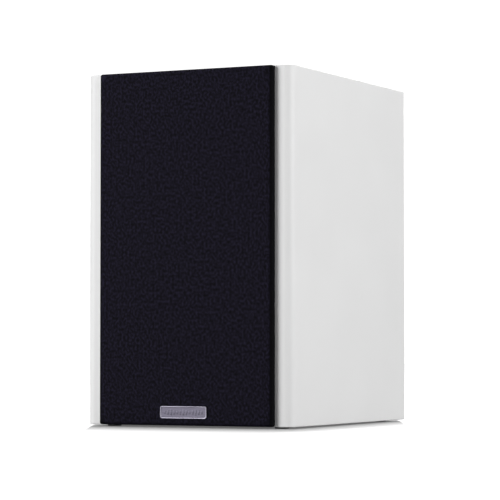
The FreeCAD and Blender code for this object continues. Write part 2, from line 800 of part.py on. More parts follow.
def binding_post(colour, side):
    floor = -dims.recess_depth
    collar = dims.collar_radius
    seat = floor + dims.collar_thick
    bore = dims.banana_radius
    socket_end = -8.6
    stud_end = -29
    post = post_frame("%s_post" % colour, side)
    post.revolve((
        (0, stud_end), (dims.stud_radius, stud_end), (dims.stud_radius, floor),
        (collar, floor), (collar, seat), (dims.post_radius, seat), (dims.post_radius, 3.5),
        (bore, 3.5), (bore, socket_end), (0, socket_end),
    ))
    post.cross_hole(-11, dims.wire_hole_radius)
    knob_end = dims.knob_proud - dims.knob_length
    washer = post_frame("%s_washer" % colour, side)
    washer.revolve(ring(dims.post_radius + 0.2, collar, seat, knob_end))
    knob = post_frame("%s_knob" % colour, side)
    rim = dims.knob_radius
    chamfer = 0.6
    bore = dims.post_radius + 0.1
    mouth = 2.3
    knob.revolve((
        (bore, knob_end), (rim - chamfer, knob_end), (rim, knob_end + chamfer),
        (rim, dims.knob_proud - 1), (rim - 1, dims.knob_proud, 1), (mouth, dims.knob_proud),
        (mouth, 4), (bore, 4),
    ))


def post_hardware():
    nuts = cup_frame("post_nuts")
    tags = cup_frame("solder_tags")
    reach = 5.2
    for side in (-1, 1):
        x = side * dims.post_spacing / 2
        hexagon = [
            (x + reach * math.cos(math.radians(60 * step)), reach * math.sin(math.radians(60 * step)))
            for step in range(6)
        ]
        for low in (-20.5, -24.3):
            nuts.pad(low, low + 3, [hexagon], [(x, 0, dims.stud_radius)])
        tags.pad(-21.3, -20.5, (), [(x, 0, 5), (x, 0, dims.stud_radius)])
        tags.pad(-21.3, -20.5, [rectangle(x - 2, -13, x + 2, -4.6)])


# ---------------------------------------------------------------- crossover


BOARD_FRONT = REAR - dims.panel_thick - 14 - dims.board_depth
BOARD_TOP = FLOOR + dims.board_gap + dims.board_thick


def board_piece(label, level):
    """A piece whose own origin is the middle of the board's front edge."""
    return Piece(label, UPRIGHT, 0, BOARD_FRONT, level)


def crossover_board():
    board = board_piece("crossover_board", FLOOR + dims.board_gap)
    half = dims.board_width / 2
    board.pad(0, dims.board_thick, [rounded_rectangle(-half, 0, half, dims.board_depth, 2)])
    holes = corners(half - 5, 5, dims.board_depth - 5, 1.6)
    board.pocket(0, dims.board_thick, circles=holes)
    pillars = board_piece("board_pillars", FLOOR)
    feet_circles = [(x, y, 3.5) for x, y, _ in holes]
    pillars.pad(0, dims.board_gap, circles=feet_circles)
    pillars.pad(dims.board_gap, dims.board_gap + dims.board_thick + 1.6, circles=holes)
    top = dims.board_gap + dims.board_thick
    pillars.pad(top, top + 1.6, circles=[(x, y, 2.6) for x, y, _ in holes])


def crossover_components():
    for label, x, y, inner, outer, height in (
        ("woofer_inductor", -24, 24, 9, 18, 15), ("tweeter_inductor", 26, 18, 6, 12, 10),
    ):
        coil = board_piece(label, BOARD_TOP)
        coil.pad(0, height, (), [(x, y, outer), (x, y, inner)])
        coil.round_edges(1.5, lambda p: near(p.z, 0) or near(p.z, height))
    capacitors = Piece("capacitors", FreeCAD.Rotation(Vector(0, 1, 0), 90),
                       0, BOARD_FRONT, BOARD_TOP)
    for low, high, y, radius in ((-34, -8, 58, 7), (6, 36, 44, 8)):
        capacitors.pad(low, high, circles=[(-radius, y, radius)])
    resistor = board_piece("crossover_resistor", BOARD_TOP)
    resistor.pad(0, 9, [rectangle(20, 58, 42, 67)])
    resistor.round_edges(0.5, lambda p: near(p.z, 9))


def rounded_route(points):
    """Straight runs joined by tangent arcs; returns the edges and the arcs' radii."""
    edges = []
    radii = []
    start = points[0]
    for before, corner, after in zip(points, points[1:], points[2:]):
        arrive = (corner - before).normalize()
        leave = (after - corner).normalize()
        turn = arrive.getAngle(leave)
        shorter = min((corner - before).Length, (after - corner).Length)
        reach = 0.45 * shorter
        radii.append(reach / math.tan(turn / 2))
        first = corner - arrive * reach
        last = corner + leave * reach
        inward = (leave - arrive).normalize()
        centre = corner + inward * (radii[-1] / math.cos(turn / 2))
        middle = centre - inward * radii[-1]
        edges.append(Part.LineSegment(start, first).toShape())
        edges.append(Part.Arc(first, middle, last).toShape())
        start = last
    edges.append(Part.LineSegment(start, points[-1]).toShape())
    return edges, radii


def tube(label, points, radius):
    """A round lead swept along a rounded route."""
    edges, radii = rounded_route(points)
    path = Part.Wire(edges)
    section = Part.Wire(Part.Circle(points[0], points[1] - points[0], radius).toShape())
    solid = path.makePipeShell([section], True, True)
    wanted = math.pi * radius ** 2 * path.Length
    print("%s: length %.0f, arc radii %s" % (label, path.Length,
                                              ", ".join("%.1f" % r for r in radii)))
    if abs(solid.Volume - wanted) > 0.01 * wanted:
        raise ValueError("the tube of %s has the wrong volume" % label)
    return solid


def leads(label, routes, radius):
    """A node of separate leads, one solid for each route of row-frame points."""
    solids = [tube(label, [Vector(*point) for point in route], radius) for route in routes]
    feature = document.addObject("Part::Feature", label)
    feature.Label = label
    feature.Shape = Part.Compound(solids)
    feature.Placement = FreeCAD.Placement()
    pieces.append(feature)


def hook_up_leads():
    """Insulated pairs: terminals to board, board to woofer, board to tweeter."""
    front = FRONT.value
    rear = REAR.value
    board = BOARD_TOP.value
    board_front = BOARD_FRONT.value
    woofer = (BASE + dims.woofer_level).value
    tweeter = (BASE + dims.tweeter_level).value
    tags = (BASE + dims.terminal_level).value - 13
    post = dims.post_spacing.value / 2
    radius = dims.wire_radius.value
    leads("input_leads", [[
        (side * post, rear - 20.9, tags), (side * post, rear - 20.9, tags - 12),
        (side * 8.5, rear - 27, tags - 26), (side * 6, rear - 37, tags - 38),
        (side * 6, rear - 37, board),
    ] for side in (-1, 1)], radius)
    leads("woofer_leads", [[
        (side * 6, board_front + 5, board), (side * 6, board_front + 5, board + 9),
        (side * 5.6, board_front - 6, board + 18), (side * 5.2, board_front - 26, board + 24),
        (side * 5, front + 78, woofer - 53.4), (side * 5, front + 54, woofer - 53.4),
    ] for side in (-1, 1)], radius)
    leads("tweeter_leads", [[
        (-46 + gap, board_front + 18, board), (-46 + gap, board_front + 18, board + 20),
        (-52 + gap, board_front, board + 54), (-56 + gap, board_front - 24, board + 96),
        (-54 + gap, board_front - 54, board + 138), (-38 + gap, front + 66, board + 172),
        (-8 + 6.4 * gap, front + 53, tweeter - 20), (-8 + 6.4 * gap, front + 33, tweeter - 20),
    ] for gap in (0, 2.5)], radius)


def woofer_tinsel_leads():
    front = FRONT.value
    centre = (BASE + dims.woofer_level).value
    leads("woofer_tinsel_leads", [[
        (side * 5, front + 38, centre - 53.4), (side * 5, front + 32.5, centre - 53.4),
        (side * 5.6, front + 27, centre - 49.5), (side * 5.4, front + 22, centre - 43),
        (side * 5, front + 16.6, centre - 36), (side * 5, front + 14.6, centre - 31),
    ] for side in (-1, 1)], dims.tinsel_radius.value)


# ---------------------------------------------------------------- grille


def grille_outline(inset, radius):
    return rounded_rectangle(inset - GRILLE_HALF, dims.grille_gap + inset,
                             GRILLE_HALF - inset, GRILLE_TOP - inset, radius)


def badge_pins(radius):
    return [(side * dims.badge_pin_x, dims.grille_gap + dims.badge_level, radius)
            for side in (-1, 1)]


def grille_bars(label, strips):
    """Bars of the grille frame: the frame's whole slab less the strips between them."""
    piece = cabinet_piece(label)
    cloth = dims.cloth_thick
    face = dims.grille_proud - cloth
    piece.pad(cloth, face, [grille_outline(cloth, dims.grille_corner - cloth)])
    piece.round_edges(dims.grille_round - cloth, lambda p: near(p.z, face))
    for strip in strips:
        piece.pocket(cloth, face, [strip])
    return piece


def grille_frame():
    """Five bars glued edge to edge: two stiles that carry the pegs, and three rails."""
    cloth = dims.cloth_thick
    side = GRILLE_HALF - cloth - dims.frame_bar
    bottom = dims.grille_gap + cloth + dims.frame_rail
    bar = dims.crossbar_height
    top = GRILLE_TOP - cloth - dims.frame_bar
    height = dims.cabinet_height
    stiles = grille_bars("grille_stiles", [rectangle(-side, 0, side, height)])
    stiles.pad(-dims.peg_reach, cloth, circles=peg_circles(dims.peg_radius))
    stiles.round_edges(1, lambda p: near(p.z, -dims.peg_reach))
    rails = grille_bars("grille_rails", [
        rectangle(-HALF_WIDTH, 0, -side, height), rectangle(side, 0, HALF_WIDTH, height),
        rectangle(-side, bottom, side, bar), rectangle(-side, bar + dims.frame_bar, side, top),
    ])
    rails.pocket(2.4, dims.grille_proud - cloth, circles=badge_pins(dims.badge_pin_radius))


def grille_cloth():
    """The cloth in two nodes: the flat face, and the border that wraps the frame."""
    cloth = dims.cloth_thick
    face = dims.grille_proud - cloth
    flat = grille_outline(dims.grille_round + 1, 1)
    sheet = cabinet_piece("grille_cloth")
    sheet.pad(face, dims.grille_proud, [flat], badge_pins(dims.badge_pin_radius + 0.1))
    wrap = cabinet_piece("grille_cloth_wrap")
    wrap.pad(0, dims.grille_proud, [grille_outline(Size.of(0), dims.grille_corner)])
    wrap.round_edges(dims.grille_round, lambda p: near(p.z, dims.grille_proud))
    wrap.hollow(cloth, lambda p: near(p.z, 0))
    wrap.pad(0, cloth, [
        grille_outline(cloth, dims.grille_corner - cloth), grille_outline(dims.cloth_hem, 4),
    ])
    wrap.pocket(0, cloth, circles=peg_circles(dims.peg_radius + dims.peg_clearance))
    wrap.pocket(face, dims.grille_proud, [flat])


def grille_badge():
    piece = cabinet_piece("grille_badge")
    half = dims.badge_width / 2
    rise = dims.badge_height / 2
    level = dims.grille_gap + dims.badge_level
    low = dims.grille_proud
    high = low + dims.badge_thick
    rim = 0.9
    piece.pad(low, high, [rounded_rectangle(-half, level - rise, half, level + rise, 2)])
    piece.round_edges(0.3, lambda p: near(p.z, high))
    piece.pocket(high - 0.35, high, [
        rounded_rectangle(rim - half, level - rise + rim, half - rim, level + rise - rim, 1.2)
    ])
    piece.pad(2.5, low, circles=badge_pins(dims.badge_pin_radius))


def grille_sockets():
    piece = cabinet_piece("grille_sockets")
    piece.pad(-dims.socket_depth, 0, circles=peg_circles(dims.socket_radius))
    bores = peg_circles(dims.peg_radius + dims.peg_clearance)
    piece.pocket(-dims.peg_reach - 1, 0, circles=bores)


def build():
    front_baffle()
    wrap_panels()
    rear_panel()
    feet()
    side_wadding()
    woofer_basket()
    flange_gasket("woofer_gasket", "woofer", dims.woofer_cutout + 0.5,
                  dims.woofer_flange - 0.5, woofer_screw_holes(2))
    woofer_surround()
    woofer_trim_ring()
    woofer_cone()
    woofer_dust_cap()
    woofer_coil()
    woofer_spider()
    woofer_motor()
    woofer_terminal_strip()
    driver_tabs()
    driver_screws()
    tweeter_faceplate()
    flange_gasket("tweeter_gasket", "tweeter", dims.tweeter_cutout + 0.5,
                  dims.tweeter_flange - 0.5, tweeter_screw_holes(2))
    tweeter_dome()
    tweeter_motor()
    port_tube()
    terminal_cup()
    terminal_cup_gasket()
    terminal_screws()
    binding_post("red", 1)
    binding_post("black", -1)
    post_hardware()
    crossover_board()
    crossover_components()
    hook_up_leads()
    woofer_tinsel_leads()
    grille_frame()
    grille_cloth()
    grille_badge()
    grille_sockets()


def check_and_export():
    """Refuses a failed or invalid object, then writes one STEP file for each sub-part."""
    document.recompute()
    for item in document.Objects:
        if "Invalid" in item.State or "Error" in item.State:
            raise ValueError("%s failed: %s" % (item.Label, item.State))
    for piece in pieces:
        shape = piece.Shape
        if shape.isNull() or not shape.isValid() or not shape.Solids:
            raise ValueError("%s has no valid solid" % piece.Label)
    os.makedirs("parts", exist_ok=True)
    for piece in pieces:
        piece.Shape.exportStep(os.path.join("parts", "%s.step" % piece.Label))
        print("%-24s %2d solid(s) %10.1f mm3" % (
            piece.Label, len(piece.Shape.Solids), piece.Shape.Volume))
    print("%d nodes" % len(pieces))


build()
check_and_export()
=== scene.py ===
"""Looks of a white two-way bookshelf loudspeaker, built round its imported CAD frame.

Metres, in the frame's own axes: +X to the listener's right, +Y to the back, +Z up.
"""

import json
import logging
import math
from dataclasses import dataclass
from enum import Enum
from typing import Any, Iterable, Sequence

import bmesh
import bpy
from mathutils import Matrix, Vector
from mathutils.noise import noise

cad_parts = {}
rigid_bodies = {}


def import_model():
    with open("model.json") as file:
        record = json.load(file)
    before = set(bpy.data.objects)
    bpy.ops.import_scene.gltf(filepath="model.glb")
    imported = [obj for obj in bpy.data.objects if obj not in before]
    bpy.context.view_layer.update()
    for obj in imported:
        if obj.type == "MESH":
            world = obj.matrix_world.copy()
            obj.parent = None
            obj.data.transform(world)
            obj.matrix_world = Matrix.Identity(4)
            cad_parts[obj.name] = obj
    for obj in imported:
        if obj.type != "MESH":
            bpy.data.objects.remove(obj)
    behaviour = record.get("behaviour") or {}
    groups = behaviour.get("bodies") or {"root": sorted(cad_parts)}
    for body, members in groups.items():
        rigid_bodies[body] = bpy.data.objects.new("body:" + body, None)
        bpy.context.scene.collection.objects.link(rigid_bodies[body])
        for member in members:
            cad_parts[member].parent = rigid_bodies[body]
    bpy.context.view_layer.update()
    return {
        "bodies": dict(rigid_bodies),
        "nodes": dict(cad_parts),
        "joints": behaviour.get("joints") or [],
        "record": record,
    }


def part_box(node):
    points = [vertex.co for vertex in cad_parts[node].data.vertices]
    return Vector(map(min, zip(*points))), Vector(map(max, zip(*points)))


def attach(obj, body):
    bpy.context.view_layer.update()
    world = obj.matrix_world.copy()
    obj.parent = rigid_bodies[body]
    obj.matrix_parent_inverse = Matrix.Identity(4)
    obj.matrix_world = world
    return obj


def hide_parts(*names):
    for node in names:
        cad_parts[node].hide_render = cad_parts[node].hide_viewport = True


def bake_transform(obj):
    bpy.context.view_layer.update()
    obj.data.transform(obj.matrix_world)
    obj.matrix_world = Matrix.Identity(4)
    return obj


LOG = logging.getLogger("bookshelf_speaker")
MM = 0.001

Point = tuple[float, float]
Links = dict[str, Any]


class Axis(Enum):
    """The way a turned piece faces: where its local z points."""

    FORWARD = "out of the front"
    BACKWARD = "out of the rear"


class Body(Enum):
    """The rigid bodies that pieces ride on."""

    CABINET = "cabinet"
    GRILLE = "grille"
    CONE = "woofer_cone_assembly"
    DOME = "tweeter_dome_assembly"
    RED_KNOB = "red_knob"
    BLACK_KNOB = "black_knob"


# ------------------------------------------------------------------ shader helpers


def linear(colour: str) -> tuple[float, float, float, float]:
    """Turns an sRGB hex colour into linear RGBA.

    Args:
        colour: six hex digits, with or without a leading hash.

    Returns:
        Linear red, green and blue, and an alpha of 1.
    """
    digits = colour.lstrip("#")
    channels = [int(digits[start:start + 2], 16) / 255 for start in (0, 2, 4)]
    bent = [c / 12.92 if c <= 0.04045 else ((c + 0.055) / 1.055) ** 2.4 for c in channels]
    return (bent[0], bent[1], bent[2], 1.0)


def add_node(tree: bpy.types.NodeTree, kind: str, settings: Links, inputs: Links) -> bpy.types.Node:
    """Adds one node with its settings, its constant inputs and its links.

    Args:
        tree: the node tree to add it to.
        kind: the node's Blender type.
        settings: attributes to set on the node.
        inputs: socket names or indices, each with a constant or an output socket.

    Returns:
        The new node.
    """
    node = tree.nodes.new(kind)
    for name, value in settings.items():
        setattr(node, name, value)
    for name, value in inputs.items():
        if isinstance(value, bpy.types.NodeSocket):
            tree.links.new(value, node.inputs[name])
        else:
            node.inputs[name].default_value = value
    return node


def ramp(tree: bpy.types.NodeTree, factor: bpy.types.NodeSocket,
         stops: Sequence[tuple[float, Sequence[float]]]) -> bpy.types.NodeSocket:
    """Adds a colour ramp and returns its colour output.

    Args:
        tree: the node tree.
        factor: what the ramp reads.
        stops: places along the ramp, each with a linear colour.
    """
    node = add_node(tree, "ShaderNodeValToRGB", {}, {"Fac": factor})
    elements = node.color_ramp.elements
    while len(elements) < len(stops):
        elements.new(0.5)
    for element, (place, colour) in zip(elements, stops):
        element.position = place
        element.color = colour
    return node.outputs["Color"]


def scaled(colour: Sequence[float], factor: float) -> tuple[float, float, float, float]:
    """Returns a linear colour made lighter or darker by a factor."""
    return (colour[0] * factor, colour[1] * factor, colour[2] * factor, 1.0)


@dataclass(frozen=True)
class Finish:
    """What all finishes share: a plain-words name, a colour and a surface.

    A subclass names how its surface was made and adds its own pattern.
    """

    name: str
    colour: str
    roughness: float = 0.5
    metallic: float = 0.0
    ior: float = 1.5
    grain_mm: float = 1.0
    relief_mm: float = 0.02
    tint: float = 0.06
    coat: float = 0.0
    sheen: float = 0.0
    specular: float = 0.5

    def build(self) -> bpy.types.Material:
        """Makes the material.

        Returns:
            The finished material.
        """
        material = bpy.data.materials.new(self.name)
        material.use_nodes = True
        tree = material.node_tree
        shader = tree.nodes["Principled BSDF"]
        shader.inputs["Metallic"].default_value = self.metallic
        shader.inputs["Roughness"].default_value = self.roughness
        if not self.metallic:
            shader.inputs["IOR"].default_value = self.ior
            shader.inputs["Specular IOR Level"].default_value = self.specular
        shader.inputs["Coat Weight"].default_value = self.coat
        shader.inputs["Coat Roughness"].default_value = 0.08
        shader.inputs["Sheen Weight"].default_value = self.sheen
        shader.inputs["Sheen Roughness"].default_value = 0.4
        self.pattern(tree, shader)
        return material

    def place(self, tree: bpy.types.NodeTree) -> bpy.types.NodeSocket:
        """Returns the coordinates that the pattern reads: the frame's own, in metres."""
        return add_node(tree, "ShaderNodeTexCoord", {}, {}).outputs["Object"]

    def noise(self, tree: bpy.types.NodeTree, size_mm: float, detail: float = 3.0,
              stretch: Sequence[float] = (1, 1, 1)) -> bpy.types.NodeSocket:
        """Adds noise of a real size.

        Args:
            tree: the node tree.
            size_mm: the width of one blotch, in millimetres.
            detail: octaves.
            stretch: how much finer the pattern is along each axis.

        Returns:
            The noise's value, from 0 to 1.
        """
        mapping = add_node(tree, "ShaderNodeMapping", {},
                           {"Vector": self.place(tree), "Scale": tuple(stretch)})
        return add_node(tree, "ShaderNodeTexNoise", {}, {
            "Vector": mapping.outputs["Vector"], "Scale": 1 / (size_mm * MM), "Detail": detail,
        }).outputs["Fac"]

    def bump(self, tree: bpy.types.NodeTree, shader: bpy.types.Node,
             height: bpy.types.NodeSocket, relief_mm: float, strength: float = 1.0) -> None:
        """Raises the surface by a height pattern of a real depth."""
        relief = add_node(tree, "ShaderNodeBump", {}, {
            "Height": height, "Distance": relief_mm * MM, "Strength": strength,
        })
        tree.links.new(relief.outputs["Normal"], shader.inputs["Normal"])

    def vary(self, tree: bpy.types.NodeTree, shader: bpy.types.Node,
             factor: bpy.types.NodeSocket) -> None:
        """Lets the colour and the roughness drift with a pattern."""
        base = linear(self.colour)
        tree.links.new(
            ramp(tree, factor, ((0.3, scaled(base, 1 - self.tint)), (0.7, scaled(base, 1 + self.tint)))),
            shader.inputs["Base Color"],
        )
        spread = add_node(tree, "ShaderNodeMapRange", {}, {
            "Value": factor, "To Min": self.roughness * 0.88, "To Max": min(1.0, self.roughness * 1.12),
        })
        tree.links.new(spread.outputs["Result"], shader.inputs["Roughness"])

    def pattern(self, tree: bpy.types.NodeTree, shader: bpy.types.Node) -> None:
        """The plain pattern: a fine moulded or cast grain."""
        grain = self.noise(tree, self.grain_mm)
        self.vary(tree, shader, self.noise(tree, self.grain_mm * 12, 2.0))
        self.bump(tree, shader, grain, self.relief_mm)


@dataclass(frozen=True)
class Lacquer(Finish):
    """Sprayed and flatted white lacquer on MDF: even, half-gloss, with a trace of orange peel."""

    def pattern(self, tree: bpy.types.NodeTree, shader: bpy.types.Node) -> None:
        """Long soft waves of orange peel, and a very slight drift of tone."""
        self.vary(tree, shader, self.noise(tree, 60.0, 1.0))
        self.bump(tree, shader, self.noise(tree, self.grain_mm, 1.0), self.relief_mm, 0.6)


@dataclass(frozen=True)
class Knit(Finish):
    """Warp-knitted polyester: columns of small loops with open gaps, and a faint slub."""

    wale_mm: float = 1.7
    course_mm: float = 2.0
    # painted shade over the frame's two upright edges: where it starts, and how dark it makes the knit
    edge_x_mm: float = 80.2
    painted_edge_shade: float = 0.12

    def pattern(self, tree: bpy.types.NodeTree, shader: bpy.types.Node) -> None:
        """Loops in the piece's own flat coordinates, darker in the gaps between them.

        The real loops are about half as wide; they are drawn as coarse as they need to show.
        """
        flat = add_node(tree, "ShaderNodeUVMap", {"uv_map": "flat"}, {}).outputs["UV"]
        turns = 2 * math.pi / MM
        parts = add_node(tree, "ShaderNodeSeparateXYZ", {}, {"Vector": flat})
        jitter = add_node(tree, "ShaderNodeTexNoise", {"noise_dimensions": "2D"}, {
            "Vector": flat, "Scale": 1 / (3.2 * MM), "Detail": 2.0,
        }).outputs["Fac"]
        waves = []
        for axis, pitch in (("X", self.wale_mm), ("Y", self.course_mm)):
            phase = add_node(tree, "ShaderNodeMath", {"operation": "MULTIPLY_ADD"}, {
                0: parts.outputs[axis], 1: turns / pitch, 2: jitter,
            })
            drift = add_node(tree, "ShaderNodeMath", {"operation": "MULTIPLY_ADD"}, {
                0: jitter, 1: 4.0, 2: phase.outputs[0],
            })
            waves.append(add_node(tree, "ShaderNodeMath", {"operation": "SINE"},
                                  {0: drift.outputs[0]}).outputs[0])
        loops = add_node(tree, "ShaderNodeMath", {"operation": "MULTIPLY"}, {0: waves[0], 1: waves[1]})
        streak_map = add_node(tree, "ShaderNodeMapping", {}, {"Vector": flat, "Scale": (1.0, 0.8, 1.0)})
        streak = add_node(tree, "ShaderNodeTexNoise", {"noise_dimensions": "2D"}, {
            "Vector": streak_map.outputs["Vector"], "Scale": 1 / (1.9 * MM), "Detail": 3.0,
        }).outputs["Fac"]
        mixed = add_node(tree, "ShaderNodeMath", {"operation": "MULTIPLY_ADD"}, {
            0: loops.outputs[0], 1: 0.16, 2: streak,
        }).outputs[0]
        base = linear(self.colour)
        colour = ramp(tree, mixed, ((0.34, scaled(base, 0.3)), (0.5, base), (0.66, scaled(base, 2.4))))
        # the base colour carries painted shade over the two upright edges
        tree.links.new(self.paint_edge_shade(tree, colour), shader.inputs["Base Color"])
        self.bump(tree, shader, mixed, self.relief_mm, 0.8)

    def paint_edge_shade(self, tree: bpy.types.NodeTree, colour: bpy.types.NodeSocket) -> bpy.types.NodeSocket:
        """Paints shade into the knit over the frame's two upright edges by darkening its colour there."""
        parts = add_node(tree, "ShaderNodeSeparateXYZ", {}, {"Vector": self.place(tree)})
        out = add_node(tree, "ShaderNodeMath", {"operation": "ABSOLUTE"}, {0: parts.outputs["X"]})
        shade = add_node(tree, "ShaderNodeMapRange", {}, {
            "Value": out.outputs[0], "From Min": self.edge_x_mm * MM, "From Max": (self.edge_x_mm + 1.6) * MM,
            "To Min": 1.0, "To Max": self.painted_edge_shade,
        })
        return add_node(tree, "ShaderNodeVectorMath", {"operation": "SCALE"}, {
            0: colour, "Scale": shade.outputs["Result"],
        }).outputs["Vector"]


@dataclass(frozen=True)
class Brushed(Finish):
    """Metal brushed one way: fine straight scratches that smear the reflection across them."""

    stretch: tuple[float, float, float] = (0.02, 1.0, 1.0)

    def pattern(self, tree: bpy.types.NodeTree, shader: bpy.types.Node) -> None:
        """Scratches along the brushing, in tone, roughness and height."""
        scratches = self.noise(tree, self.grain_mm, 4.0, self.stretch)
        self.vary(tree, shader, scratches)
        self.bump(tree, shader, scratches, self.relief_mm, 0.5)


@dataclass(frozen=True)
class Speckled(Finish):
    """A felted or chipped surface: fibres or chips of a second tone in the first."""

    second: str = "#000000"
    share: float = 0.5
    chip_mm: float = 0.6

    def pattern(self, tree: bpy.types.NodeTree, shader: bpy.types.Node) -> None:
        """Chips from a cell pattern over a soft drift."""
        cells = add_node(tree, "ShaderNodeTexVoronoi", {"feature": "F1"}, {
            "Vector": self.place(tree), "Scale": 1 / (self.chip_mm * MM), "Randomness": 1.0,
        })
        drift = self.noise(tree, self.chip_mm * 3, 4.0)
        mixed = add_node(tree, "ShaderNodeMath", {"operation": "MULTIPLY_ADD"}, {
            0: cells.outputs["Distance"], 1: 0.6, 2: drift,
        }).outputs[0]
        tree.links.new(
            ramp(tree, mixed, ((self.share, linear(self.second)), (self.share + 0.25, linear(self.colour)))),
            shader.inputs["Base Color"],
        )
        self.bump(tree, shader, mixed, self.relief_mm)


@dataclass(frozen=True)
class Wound(Finish):
    """Enamelled wire in close turns: fine parallel ridges round an axis."""

    pitch_mm: float = 0.8
    axis: str = "Z"

    def pattern(self, tree: bpy.types.NodeTree, shader: bpy.types.Node) -> None:
        """Ridges across one axis of the frame."""
        parts = add_node(tree, "ShaderNodeSeparateXYZ", {}, {"Vector": self.place(tree)})
        phase = add_node(tree, "ShaderNodeMath", {"operation": "MULTIPLY"}, {
            0: parts.outputs[self.axis], 1: 2 * math.pi / (self.pitch_mm * MM),
        })
        ridges = add_node(tree, "ShaderNodeMath", {"operation": "SINE"}, {0: phase.outputs[0]})
        centred = add_node(tree, "ShaderNodeMapRange", {}, {
            "Value": ridges.outputs[0], "From Min": -1.0, "From Max": 1.0,
        }).outputs["Result"]
        self.vary(tree, shader, centred)
        self.bump(tree, shader, centred, self.relief_mm)


